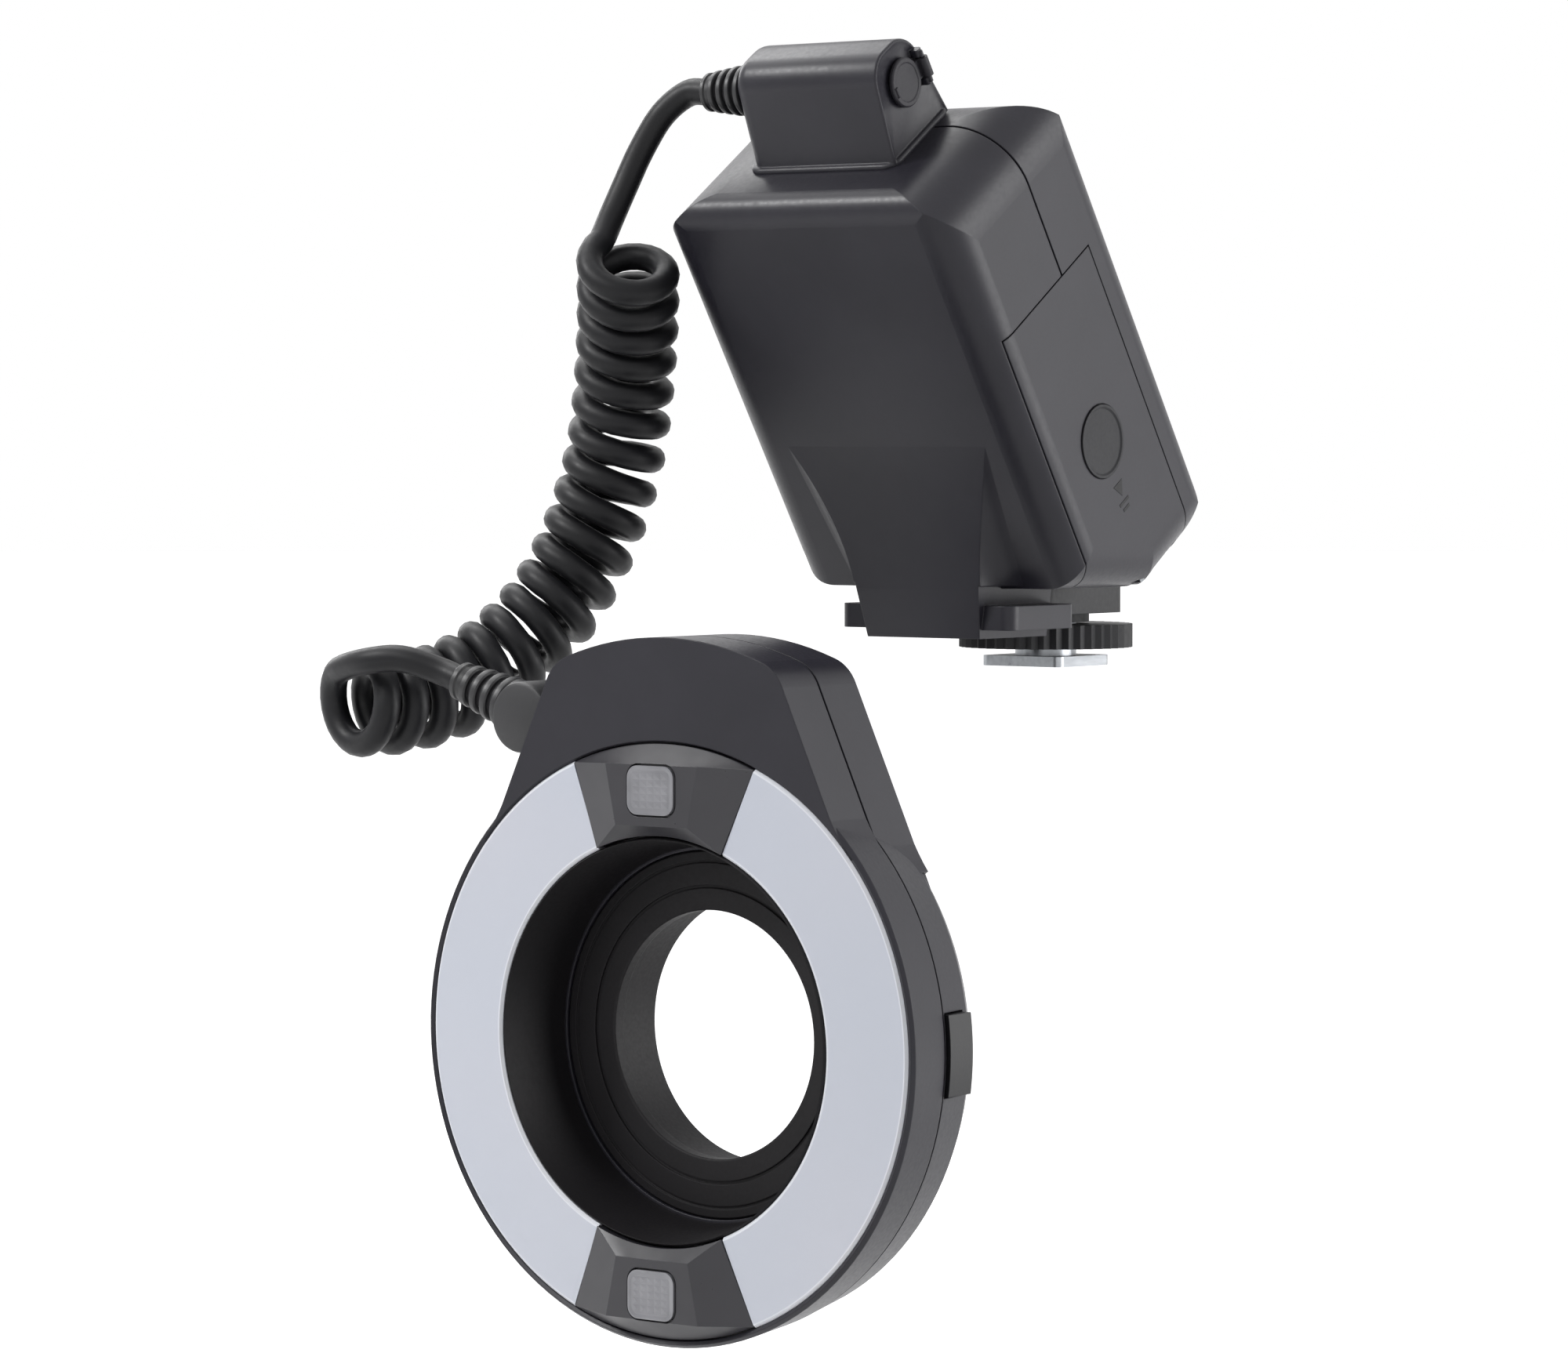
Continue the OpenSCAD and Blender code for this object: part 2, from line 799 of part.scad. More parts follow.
// Foot: the base under the belly, the clamping wheel and the plate that slides into a hot shoe
wheel_z = [foot_t + rail_gap, foot_t + rail_gap + wheel_t];
stem_r = 6;
base_w = 26;
base_back = 9;
base_low = wheel_z[1] + gap + 0.1;
base_neck = 1.8;
lock_pin_r = 1;
lock_pin_y = -4.2;
contact_r = 0.9;
contact_l = 3;
contact_places = [[0, 0], [-3.4, 0.6], [3.4, 0.6], [-2.3, 4], [2.3, 4]];

module foot_base() {
    color(charcoal) {
        translate([0, (pedestal_back_y + base_back) / 2, base_low + base_neck])
            linear_extrude(belly_z - base_low - base_neck)
                rounded_box(base_w, base_back - pedestal_back_y - 2 * seat_fit, 3);
        rod_z(stem_r + 2.5, 0, 0, base_low, belly_z - wall);
    }
}

module shoe_foot() {
    color(steel) difference() {
        union() {
            linear_extrude(foot_t) rounded_box(foot_w, foot_l, 1.5);
            rod_z(stem_r, 0, 0, foot_t / 2, base_low);
        }
        rod_z(lock_pin_r + running_fit, 0, lock_pin_y, -foot_t, base_low - wheel_t / 4);
        for (p = contact_places)
            rod_z(contact_r + running_fit, p[0], p[1], -foot_t, contact_l + 1);
    }
}

module shoe_contacts() {
    color(brass) for (p = contact_places)
        rod_z(contact_r, p[0], p[1], 0, contact_l);
}

module lock_wheel() {
    tooth = 0.7;
    color(black) difference() {
        translate([0, 0, wheel_z[0]])
            linear_extrude(wheel_t)
                polygon([
                    for (i = [0 : 2 * wheel_teeth - 1])
                        let (r = i % 2 == 0 ? wheel_r : wheel_r - tooth, a = 180 * i / wheel_teeth)
                        r * [cos(a), sin(a)]
                ]);
        rod_z(stem_r + running_fit, 0, 0, 0, base_low);
    }
}

module lock_pin() {
    color(steel) rod_z(lock_pin_r, 0, lock_pin_y, 0, base_low - wheel_t / 4 - 2 * gap);
}

// Ring head: front shell with its trough, rear shell, and what they hold
rim = 1.3;
diffuser_out = ring_r - rim;
ledge_y = 2.2;
trough_y = ring_seam - 2;
trough_in = opening_r + 1.5;
trough_out = diffuser_out - 1.9;
cone_rise = 1;
hump_top = ring_r + hump_rise;
hump_foot = ring_r * [0.718, 0.6545];
hump_slope = 0.455;
hump_arc_r = 64;
hump_back = ring_depth - 2;
bore_r = 33.6;
barrel_end = ring_seam + 3.8;
boss_up = ring_r + 2;
boss_at = [-(hump_foot[0] - hump_slope * (boss_up - hump_foot[1])) - 4.55, boss_up];
boss_disc_r = 6.6;
boss_y = [1.5, 13.5];
gland_tilt = 18;
ring_gland_l = 13;

// The hump's outline: straight sides, a shallow arc on top and a round corner between them
hump_corner_r = 8;
hump_normal = unit2([1, hump_slope]);
hump_along = [-hump_normal[1], hump_normal[0]];
hump_side = hump_normal * hump_foot;
hump_arc_at = [0, hump_top - hump_arc_r];
corner_q = hump_side - hump_corner_r - hump_normal * hump_arc_at;
corner_p = sqrt(pow(hump_arc_r - hump_corner_r, 2) - corner_q * corner_q);
hump_corner_at = hump_arc_at + hump_normal * corner_q + hump_along * corner_p;
hump_root = 14;
neck_r = 40;
neck_root = 6;

module hump_outline(inset) {
    r = hump_corner_r - inset;
    foot = hump_foot - hump_along * hump_root - hump_normal * inset;
    side_end = hump_corner_at + hump_normal * r;
    arc_end = hump_corner_at + unit2(hump_corner_at - hump_arc_at) * r;
    polygon([
        [-foot[0], foot[1]], foot, side_end, arc_end, [-arc_end[0], arc_end[1]], [-side_end[0], side_end[1]]
    ]);
    intersection() {
        translate(hump_arc_at) circle(hump_arc_r - inset);
        translate([-arc_end[0], arc_end[1] - 1]) square([2 * arc_end[0], hump_rise]);
    }
    for (side = [-1, 1])
        translate([side * hump_corner_at[0], hump_corner_at[1]]) circle(r + arc_slack);
}

module hump(y0, y1, inset, clear_r) {
    along_y(y0, y1) difference() {
        hump_outline(inset);
        circle(clear_r);
    }
}

// Hollow fillets that lead from the ring into the hump's sides
module neck(y0, y1, meet_r, clear_r) {
    lift = sqrt(pow(meet_r + neck_r, 2) - pow(hump_side + neck_r, 2));
    neck_at = hump_normal * (hump_side + neck_r) + hump_along * lift;
    on_ring = unit2(neck_at) * meet_r;
    on_side = neck_at - hump_normal * neck_r;
    for (side = [0, 1])
        mirror([side, 0, 0]) along_y(y0, y1) difference() {
            polygon([
                on_ring, on_side,
                on_side - hump_normal * neck_root, on_ring - unit2(neck_at) * neck_root
            ]);
            translate(neck_at) circle(neck_r * 1.002);
            circle(clear_r);
        }
}

module boss_cut() {
    rod_y(boss_disc_r + seat_fit, boss_at[0], boss_y[0] - seat_fit, boss_y[1] + seat_fit, boss_at[1]);
}

screw_ring_r = (trough_in + trough_out) / 2;

module screw_places() {
    for (a = [45 : 90 : 315])
        rotate([0, a, 0]) translate([screw_ring_r, 0, 0]) children();
}

module ring_front_shell() {
    color(charcoal) ring_frame() difference() {
        union() {
            difference() {
                revolve_y() polygon([
                    [opening_r, ledge_y], [trough_in, ledge_y], [trough_in, trough_y], [trough_out, trough_y],
                    [trough_out, ledge_y], [diffuser_out, ledge_y], [diffuser_out, 0.4], [ring_r - 0.6, 0],
                    [ring_r, 0.8], [ring_r - 0.8, ring_seam], [opening_r, ring_seam]
                ]);
            }
            difference() {
                union() {
                    hump(0, ring_seam, 0, diffuser_out + 0.2);
                    neck(0, ring_seam, ring_r - 0.9, diffuser_out + 0.2);
                }
                hump(ring_wall, ring_seam + 1, ring_wall, ring_r + 1);
            }
        }
        boss_cut();
        screw_places() rod_y(screw_r + 0.05, 0, trough_y - 1, ring_seam + 1, 0);
        for (side = [-1, 1])
            rod_y(lamp_socket_r, 0, trough_y - 1, ring_seam + 1, side * lamp_ring_r);
    }
}

rear_wall = 2;
latch_y = [ring_seam + 8.6, ring_seam + 10.4];
latch_r = [32.4, 35.6];
button_z = 14.4;
button_y = [ring_seam + 1, ring_seam + 7.8];
button_flange = [ring_r - 7.6, ring_r - 5.4];
button_out = ring_r - 0.2;
flange_extra = 1.4;

module ring_rear_shell() {
    color(charcoal) ring_frame() difference() {
        union() {
            revolve_y() polygon([
                [ring_r - 0.8 - seam_deep, ring_seam], [ring_r - 0.8 - seam_deep, ring_seam + seam_w],
                [ring_r - 0.9, ring_seam + seam_w], [ring_r - 2.4, ring_depth - 4],
                [ring_r - 4.2, ring_depth - 1], [ring_r - 6.5, ring_depth],
                [bore_r, ring_depth], [bore_r, latch_y[1]], [latch_r[1], latch_y[1]],
                [latch_r[1], latch_y[0]], [bore_r, latch_y[0]], [bore_r, barrel_end],
                [opening_r, barrel_end], [opening_r, ring_seam], [trough_in, ring_seam],
                [trough_in, ring_depth - rear_wall], [ring_r - 6.5, ring_depth - rear_wall],
                [ring_r - 4.2, ring_depth - 4], [ring_r - 2.6, ring_seam]
            ]);
            difference() {
                union() {
                    hump(ring_seam, ring_seam + seam_w, seam_deep, ring_r - 4);
                    hump(ring_seam + seam_w, hump_back, 0, ring_r - 4);
                    neck(ring_seam + seam_w, hump_back, ring_r - 2.2, ring_r - 4);
                }
                hump(ring_seam - 1, hump_back - rear_wall, ring_wall, ring_r + 1);
            }
            screw_places() rod_y(boss_r, 0, ring_seam, ring_depth - 1, 0);
        }
        boss_cut();
        for (side = [-1, 1])
            mirror([side < 0 ? 1 : 0, 0, 0])
                block(
                    [button_flange[1] - 0.5, button_y[0] - gap, -button_z / 2 - gap],
                    [ring_r + 2, button_y[1] + gap, button_z / 2 + gap]
                );
        screw_places() {
            rod_y(screw_r + seat_fit, 0, ring_seam - 1, ring_depth + 1, 0);
            rod_y(screw_head_r + seat_fit, 0, ring_depth - screw_head_t - 0.6, ring_depth + 1, 0);
        }
    }
}

module ring_screws() {
    color(steel) ring_frame() screw_places() {
        rod_y(screw_r, 0, trough_y + 0.3, ring_depth - screw_head_t - 0.5, 0);
        rod_y(screw_head_r, 0, ring_depth - screw_head_t - 0.6, ring_depth - 0.6, 0);
    }
}

module inner_barrel() {
    color(black) ring_frame() revolve_y() polygon([
        [opening_r - 0.5, -cone_rise + 0.1], [opening_r - seat_fit, -cone_rise + 0.6],
        [opening_r - seat_fit, barrel_end], [opening_r - 2.6, barrel_end]
    ]);
}

// Front of the ring: two diffusers and two lamp bridges share one seat
diffuser_angle = 180 - 2 * bridge_half - 0.3;

module front_profile() {
    polygon([
        [opening_r, ledge_y], [opening_r, -cone_rise + 0.5], [opening_r + 0.5, -cone_rise],
        [diffuser_out - 0.6, 0], [diffuser_out - seat_fit, 0.5], [diffuser_out - seat_fit, ledge_y]
    ]);
}

module diffuser_left() {
    color(frosted) ring_frame() sector_y(180, diffuser_angle) front_profile();
}

module diffuser_right() {
    color(frosted) ring_frame() sector_y(0, diffuser_angle) front_profile();
}

module reflector_profile() {
    polygon([
        [trough_in + seat_fit, ledge_y], [tube_ring_r - reflector_mouth, ledge_y],
        [tube_ring_r - reflector_floor, trough_y - 1], [tube_ring_r + reflector_floor, trough_y - 1],
        [tube_ring_r + reflector_mouth, ledge_y], [trough_out - seat_fit, ledge_y],
        [trough_out - seat_fit, trough_y], [trough_in + seat_fit, trough_y]
    ]);
}

module reflector_left() {
    color(mirror_metal) ring_frame() sector_y(180, diffuser_angle - 4) reflector_profile();
}

module reflector_right() {
    color(mirror_metal) ring_frame() sector_y(0, diffuser_angle - 4) reflector_profile();
}

// Flash tube with its room, and the reflector whose walls lean in from its mouth towards that room
tube_r = 1.7;
tube_room = 0.2;
tube_ring_r = (trough_in + trough_out) / 2;
tube_y = trough_y - 1.2 - tube_r;
reflector_lip = 0.9;
reflector_lean = 0.575;
reflector_mouth = (trough_out - trough_in) / 2 - reflector_lip;
reflector_floor = reflector_mouth - reflector_lean * (reflector_mouth - tube_r - tube_room);

module flash_tube_left() {
    color("#e8eef2") ring_frame()
        sector_y(180, diffuser_angle - 14) translate([tube_ring_r, tube_y]) circle(tube_r);
}

module flash_tube_right() {
    color("#e8eef2") ring_frame()
        sector_y(0, diffuser_angle - 14) translate([tube_ring_r, tube_y]) circle(tube_r);
}

// Lamp bridge: a hipped block between the diffusers, with a pocket for its lamp window
lamp_ring_r = (opening_r + diffuser_out) / 2;
lamp_window_w = 10.4;
lamp_window_h = 8.8;
lamp_window_t = 1.4;
lamp_window_gap = 0.35;
lamp_socket_r = 2.2;
bridge_arc = 12;

module bridge_wedge(r0, r1, half) {
    polygon(concat(
        [for (i = [0 : bridge_arc]) let (a = 90 - half + 2 * half * i / bridge_arc) r1 * [cos(a), sin(a)]],
        [for (i = [0 : bridge_arc]) let (a = 90 + half - 2 * half * i / bridge_arc) r0 * [cos(a), sin(a)]]
    ));
}

module bridge_crown() {
    rounded(
        [
            [-8, lamp_ring_r - 6.4], [8, lamp_ring_r - 6.4],
            [10.5, lamp_ring_r + 4.6], [-10.5, lamp_ring_r + 4.6]
        ],
        [2, 2, 2, 2]
    );
}

module lamp_bridge() {
    color(charcoal) difference() {
        union() {
            intersection() {
                revolve_y() front_profile();
                along_y(-bridge_rise, ledge_y) bridge_wedge(opening_r - 2, diffuser_out + 2, bridge_half);
            }
            hull() {
                along_y(-0.2, 0.4) bridge_wedge(opening_r + 0.8, diffuser_out - 0.8, bridge_half - 1);
                along_y(-bridge_rise, -bridge_rise + 0.2) bridge_crown();
            }
        }
        rod_y(opening_r + seat_fit, 0, -2 * bridge_rise, ledge_y + 1, 0);
        translate([0, 0, lamp_ring_r]) {
            along_y(-2 * bridge_rise, -bridge_rise + lamp_window_t)
                rounded_box(lamp_window_w + 2 * lamp_window_gap, lamp_window_h + 2 * lamp_window_gap, 2.5);
            rod_y(lamp_socket_r + 1.2, 0, -bridge_rise, ledge_y + 1, 0);
        }
    }
}

module lamp_window() {
    color(lens_grey) translate([0, 0, lamp_ring_r])
        along_y(-bridge_rise - 0.3, -bridge_rise + lamp_window_t)
            rounded_box(lamp_window_w, lamp_window_h, 2.2);
}

module turned_down() {
    rotate([0, 180, 0]) children();
}

module lamp_bridge_top() {
    ring_frame() lamp_bridge();
}

module lamp_bridge_bottom() {
    ring_frame() turned_down() lamp_bridge();
}

module lamp_window_top() {
    ring_frame() lamp_window();
}

module lamp_window_bottom() {
    ring_frame() turned_down() lamp_window();
}

module focusing_lamps() {
    color("#e9e6d8") ring_frame() for (side = [-1, 1])
        translate([0, 0, side * lamp_ring_r]) revolve_y() polygon([
            [0, -bridge_rise + lamp_window_t + 0.4], [1.2, -bridge_rise + lamp_window_t + 0.8],
            [1.6, -bridge_rise + lamp_window_t + 2], [1.6, ledge_y], [lamp_socket_r - seat_fit, ledge_y + 1],
            [lamp_socket_r - seat_fit, ring_seam], [0, ring_seam]
        ]);
}

// Release buttons at both sides, their springs, the latch ring and the adapter that they let go
module release_button() {
    color(black) {
        intersection() {
            block([button_flange[0], button_y[0], -button_z / 2], [ring_r + 2, button_y[1], button_z / 2]);
            rod_y(button_out, 0, button_y[0], button_y[1], 0);
        }
        block(
            [button_flange[0], button_y[0], -button_z / 2 - flange_extra],
            [button_flange[1] - 1, button_y[1], button_z / 2 + flange_extra]
        );
    }
}

module release_button_left() {
    ring_frame() mirror([1, 0, 0]) release_button();
}

module release_button_right() {
    ring_frame() release_button();
}

module release_springs() {
    spring_y = (button_y[0] + button_y[1]) / 2;
    color(steel) ring_frame() for (side = [0, 1])
        mirror([side, 0, 0]) difference() {
            rod_x(2.2, trough_in + 0.2, button_flange[0] - 0.1, spring_y, 0);
            rod_x(1.6, 0, ring_r, spring_y, 0);
        }
}

module latch_ring() {
    color(steel) ring_frame() revolve_y() polygon([
        [latch_r[0], latch_y[0] + 0.2], [latch_r[1] - 0.2, latch_y[0] + 0.2],
        [latch_r[1] - 0.2, latch_y[1] - 0.2], [latch_r[0], latch_y[1] - 0.2]
    ]);
}

module adapter_ring() {
    flange_r = bore_r - running_fit;
    groove_r = latch_r[0] - gap;
    front_y = barrel_end + gap;
    sight_r = thread_r - 3.4;
    thread_l = 5;
    color(black) ring_frame() revolve_y() polygon([
        [sight_r, front_y], [flange_r, front_y], [flange_r, latch_y[0]], [groove_r, latch_y[0]],
        [groove_r, latch_y[1]], [flange_r, latch_y[1]], [flange_r, ring_depth],
        [thread_r, ring_depth], [thread_r, ring_depth + thread_l], [thread_r - 1.6, ring_depth + thread_l],
        [thread_r - 1.6, front_y + 3]
    ]);
}

module trigger_coil() {
    color("#6b5a3a") ring_frame() rod_y(4.5, 8, 6, hump_back - rear_wall, hump_top - 9.5);
}

module ring_gland() {
    color(black) ring_frame() translate([boss_at[0], (boss_y[0] + boss_y[1]) / 2, boss_at[1]]) {
        rod_y(boss_disc_r, 0, -(boss_y[1] - boss_y[0]) / 2, (boss_y[1] - boss_y[0]) / 2, 0);
        rotate([0, -90 + gland_tilt, 0]) {
            cylinder(r = gland_base_r, h = boss_disc_r + 0.4);
            translate([0, 0, boss_disc_r]) rotate_extrude() gland_profile(ring_gland_l);
        }
    }
}

// Curly cord: one tube along a lead from the cord head, a left-handed helix round a bent axis,
// and a lead into the ring. The free stretches follow points chosen by hand.
head_exit = [
    -head_half - gland_l,
    unit_at[1] + cos(lean) * gland_at[0] - sin(lean) * gland_at[1],
    unit_at[2] + sin(lean) * gland_at[0] + cos(lean) * gland_at[1]
];
ring_exit_dir = [-cos(gland_tilt), 0, sin(gland_tilt)];
ring_exit = ring_at + [boss_at[0], (boss_y[0] + boss_y[1]) / 2, boss_at[1]]
    + ring_exit_dir * (boss_disc_r + ring_gland_l);
top_route = [[-36.5, -75, 105.3], [-40.3, -76.6, 98.8], [-42.6, -78.7, 92], [-43.6, -81.6, 86]];
axis_route = [
    [-37, -85, 78], [-43, -77.5, 66.5], [-47.5, -73, 54.5], [-51, -71, 42.5],
    [-54.5, -71.5, 31], [-58, -74, 20.5], [-62, -78.5, 11], [-66.5, -85.5, 3],
    [-71, -94, -2.5], [-75.5, -104.5, -5.5], [-80, -116.5, -6]
];
ring_route = [ring_exit + [-18.9, -4.5, 3.3], ring_exit + [-11.9, -3, 3.8]];
// The curls hang more open towards the ring, by this share of the mean pitch
coil_spread = 0.03;
curl_rings = 8;
tube_sides = 6;
lead_steps = 3;

function unit3(v) = v / norm(v);

// Smooth curve through points, at a place counted in points
function curve_at(p, t) =
    let (
        n = len(p) - 1,
        i = min(floor(t), n - 1),
        u = t - i,
        a = i > 0 ? p[i - 1] : 2 * p[0] - p[1],
        b = p[i],
        c = p[i + 1],
        d = i + 2 <= n ? p[i + 2] : 2 * p[n] - p[n - 1]
    )
    0.5 * (2 * b + u * (c - a) + u * u * (2 * a - 5 * b + 4 * c - d) + u * u * u * (3 * b - a - 3 * c + d));

// Distance along the axis route at each fine step, so that the curls are spaced evenly
axis_steps = 12 * (len(axis_route) - 1);
axis_points = [for (i = [0 : axis_steps]) curve_at(axis_route, i / 12)];
axis_run = [
    for (i = 0, run = 0; i <= axis_steps;
         run = run + (i < axis_steps ? norm(axis_points[i + 1] - axis_points[i]) : 0), i = i + 1) run
];
function step_at(run) = max([for (i = [0 : axis_steps - 1]) if (axis_run[i] <= run) i]);

function helix_point(share) =
    let (
        run = share * axis_run[axis_steps],
        i = step_at(run),
        u = (run - axis_run[i]) / (axis_run[i + 1] - axis_run[i]),
        middle = axis_points[i] * (1 - u) + axis_points[i + 1] * u,
        ahead = unit3(axis_points[min(i + 2, axis_steps)] - axis_points[max(i - 1, 0)]),
        across = unit3(cross(ahead, [0, 1, 0])),
        over = cross(ahead, across),
        a = 180 - 360 * coil_turns * share * (1 + coil_spread - coil_spread * share)
    )
    middle + coil_r * (cos(a) * across + sin(a) * over);

coil_count = curl_rings * coil_turns;
function share_at(turned) =
    let (k = coil_spread) ((1 + k) - sqrt((1 + k) * (1 + k) - 4 * k * turned)) / (2 * k);
coil_path = [for (i = [0 : coil_count]) helix_point(share_at(i / coil_count))];

// A lead leaves its gland straight for one cord diameter and runs into the first curl
function lead(points) = [for (i = [0 : lead_steps * (len(points) - 1)]) curve_at(points, i / lead_steps)];
top_lead = concat(
    [head_exit],
    lead(concat([head_exit - [cord_d, 0, 0]], top_route, [coil_path[0]]))
);
ring_lead = concat(
    lead(concat([coil_path[coil_count]], ring_route, [ring_exit + ring_exit_dir * cord_d])),
    [ring_exit]
);
function tail(list, first) = [for (i = [first : len(list) - 1]) list[i]];
cord_path = concat(top_lead, tail(coil_path, 1), tail(ring_lead, 1));
coil_first = len(top_lead) - 1;
coil_last = coil_first + coil_count;
cord_last = len(cord_path) - 1;

cord_ahead = [
    for (i = [0 : cord_last])
        i == 0 ? [-1, 0, 0]
        : i == cord_last ? -ring_exit_dir
        : unit3(cord_path[i + 1] - cord_path[i - 1])
];

// A side direction carried along the path without twist
function carried(v, ahead) = unit3(v - (v * ahead) * ahead);
cord_side = [
    for (i = 0, v = [0, 0, 1]; i <= cord_last;
         i = i + 1, v = i <= cord_last ? carried(v, cord_ahead[i]) : v) v
];

function cord_ring(i) =
    let (side = cord_side[i], other = cross(cord_ahead[i], side))
    [
        for (k = [0 : tube_sides - 1])
            cord_path[i] + cord_d / 2 * (cos(360 * k / tube_sides) * side + sin(360 * k / tube_sides) * other)
    ];

module tube(first, last) {
    rings = last - first;
    points = [for (i = [first : last]) each cord_ring(i)];
    walls = [
        for (i = [0 : rings - 1], k = [0 : tube_sides - 1])
            let (a = i * tube_sides + k, b = i * tube_sides + (k + 1) % tube_sides)
            each [[a, b + tube_sides, b], [a, a + tube_sides, b + tube_sides]]
    ];
    start_cap = [for (k = [1 : tube_sides - 2]) [0, k, k + 1]];
    end = rings * tube_sides;
    end_cap = [for (k = [1 : tube_sides - 2]) [end, end + k + 1, end + k]];
    color(rubber) polyhedron(points, concat(walls, start_cap, end_cap));
}

module cord_top_lead() {
    tube(0, coil_first);
}

module cord_coil() {
    tube(coil_first, coil_last);
}

module cord_ring_lead() {
    tube(coil_last, cord_last);
}

// Least gap of the cord to itself and the cord's length, measured on the points of the path
self_gap = min([
    for (i = [0 : cord_last], j = [i + 6 : 1 : cord_last]) norm(cord_path[i] - cord_path[j])
]) - cord_d;
cord_run = [
    for (i = 0, run = 0; i <= cord_last;
         run = run + (i < cord_last ? norm(cord_path[i + 1] - cord_path[i]) : 0), i = i + 1) run
];
cord_length = cord_run[cord_last];
union() {
    echo(cord_least_gap = self_gap, cord_length = cord_length);
}

front_shell();
rear_shell();
cord_head();
power_socket();
socket_cover();
head_gland();
foot_base();
shoe_foot();
shoe_contacts();
lock_wheel();
lock_pin();
battery_box();
battery_cells();
battery_contacts();
battery_door();
door_thumb_pad();
door_contacts();
door_hinge();
door_pin();
main_board();
flash_capacitor();
step_up_transformer();
display_module();
display_window();
light_button();
mode_button();
sync_button();
ratio_button();
minus_button();
set_button();
plus_button();
power_switch();
test_button();
case_screws();
ring_front_shell();
ring_rear_shell();
inner_barrel();
diffuser_left();
diffuser_right();
reflector_left();
reflector_right();
flash_tube_left();
flash_tube_right();
lamp_bridge_top();
lamp_bridge_bottom();
lamp_window_top();
lamp_window_bottom();
focusing_lamps();
release_button_left();
release_button_right();
release_springs();
latch_ring();
adapter_ring();
trigger_coil();
ring_gland();
ring_screws();
cord_top_lead();
cord_coil();
cord_ring_lead();
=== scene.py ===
# %% [markdown]
# A macro ring flash, dressed for the camera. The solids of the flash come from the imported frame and
# stay as they are. This lesson sets up the camera and the light, lays the curly cord, gives every
# solid the finish of its real material, and models the small pieces that the solids only hint at.

# %% Load the frame
from math import cos, pi, radians, sin, sqrt

import bpy
from mathutils import Matrix, Vector


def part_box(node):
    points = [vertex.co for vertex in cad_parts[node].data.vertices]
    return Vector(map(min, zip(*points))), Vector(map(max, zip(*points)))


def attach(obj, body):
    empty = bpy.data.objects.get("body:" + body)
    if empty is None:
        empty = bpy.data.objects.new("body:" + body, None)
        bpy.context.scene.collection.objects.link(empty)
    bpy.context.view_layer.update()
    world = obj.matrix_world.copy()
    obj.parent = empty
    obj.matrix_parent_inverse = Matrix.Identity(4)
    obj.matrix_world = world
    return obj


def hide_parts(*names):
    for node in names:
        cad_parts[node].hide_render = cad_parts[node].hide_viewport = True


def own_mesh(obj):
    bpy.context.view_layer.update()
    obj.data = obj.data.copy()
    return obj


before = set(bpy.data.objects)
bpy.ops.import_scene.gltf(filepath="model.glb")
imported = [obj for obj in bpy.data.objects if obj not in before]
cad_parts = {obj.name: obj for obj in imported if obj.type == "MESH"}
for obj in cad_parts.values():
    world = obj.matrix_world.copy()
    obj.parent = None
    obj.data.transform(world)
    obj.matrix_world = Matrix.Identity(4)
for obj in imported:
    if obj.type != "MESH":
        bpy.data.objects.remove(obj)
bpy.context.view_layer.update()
scene = bpy.context.scene
MM = 0.001

# %% [markdown]
# The camera comes first, because every later choice is judged through it. The picture was taken
# with a long lens from the right of the ring and a little above its middle. A long lens keeps the
# ring an even ellipse, so the place and the focal length were worked out together from the ring's
# width, its height and the edges of the control unit.

# %% Camera
LENS_MM = 126
TILT_DOWN = radians(2.555)
TURN_LEFT = radians(36.745)
view_data = bpy.data.cameras.new("product_view")
view_data.lens = LENS_MM
view_data.sensor_fit = "HORIZONTAL"
view_data.sensor_width = 36
view = bpy.data.objects.new("product_view", view_data)
view.location = (0.60224, -0.89240, 0.04393)
view.rotation_euler = (pi / 2 - TILT_DOWN, 0, TURN_LEFT)
scene.collection.objects.link(view)
scene.camera = view
scene.view_settings.view_transform = "Standard"
print("camera stands", round(view.location.length, 3), "m from the foot")

# %% [markdown]
# A node tree is easier to read when each node takes one line. This helper adds a node, sets what
# it is told to set, and links or fills its sockets by name. All the finishes below use it.

# %% One helper for nodes
def add(tree, kind, sockets=None, **settings):
    node = tree.nodes.new(kind)
    for name, value in settings.items():
        setattr(node, name, value)
    for name, value in (sockets or {}).items():
        if isinstance(value, bpy.types.NodeSocket):
            tree.links.new(value, node.inputs[name])
        else:
            node.inputs[name].default_value = value
    return node


def linear(hex_colour):
    parts = [int(hex_colour[i:i + 2], 16) / 255 for i in (1, 3, 5)]
    return [p / 12.92 if p <= 0.04045 else ((p + 0.055) / 1.055) ** 2.4 for p in parts] + [1]


# %% [markdown]
# The studio: a large softbox above on the left, whose mirror image falls on the top faces. A small key
# high on the left draws the bright line along the brow of the housing. A wide softbox at the rear right
# puts a sheen on the right side, a soft front lights the face of the ring, and a strip on the left
# traces the rims. A lamp's level is what a matt white card turned to it would render at. The world is
# white where it is seen straight or in a reflection, and a soft grey where it lights.

# %% Light
middle = Vector((0, -0.075, 0.0))


def softbox(name, place, width, height, level):
    data = bpy.data.lights.new(name, "AREA")
    data.shape = "RECTANGLE"
    data.size = width
    data.size_y = height
    reach = Vector(place) - middle
    data.energy = level * pi ** 2 * reach.length_squared
    lamp = bpy.data.objects.new(name, data)
    lamp.location = place
    lamp.rotation_euler = reach.to_track_quat("Z", "Y").to_euler()
    scene.collection.objects.link(lamp)
    return lamp


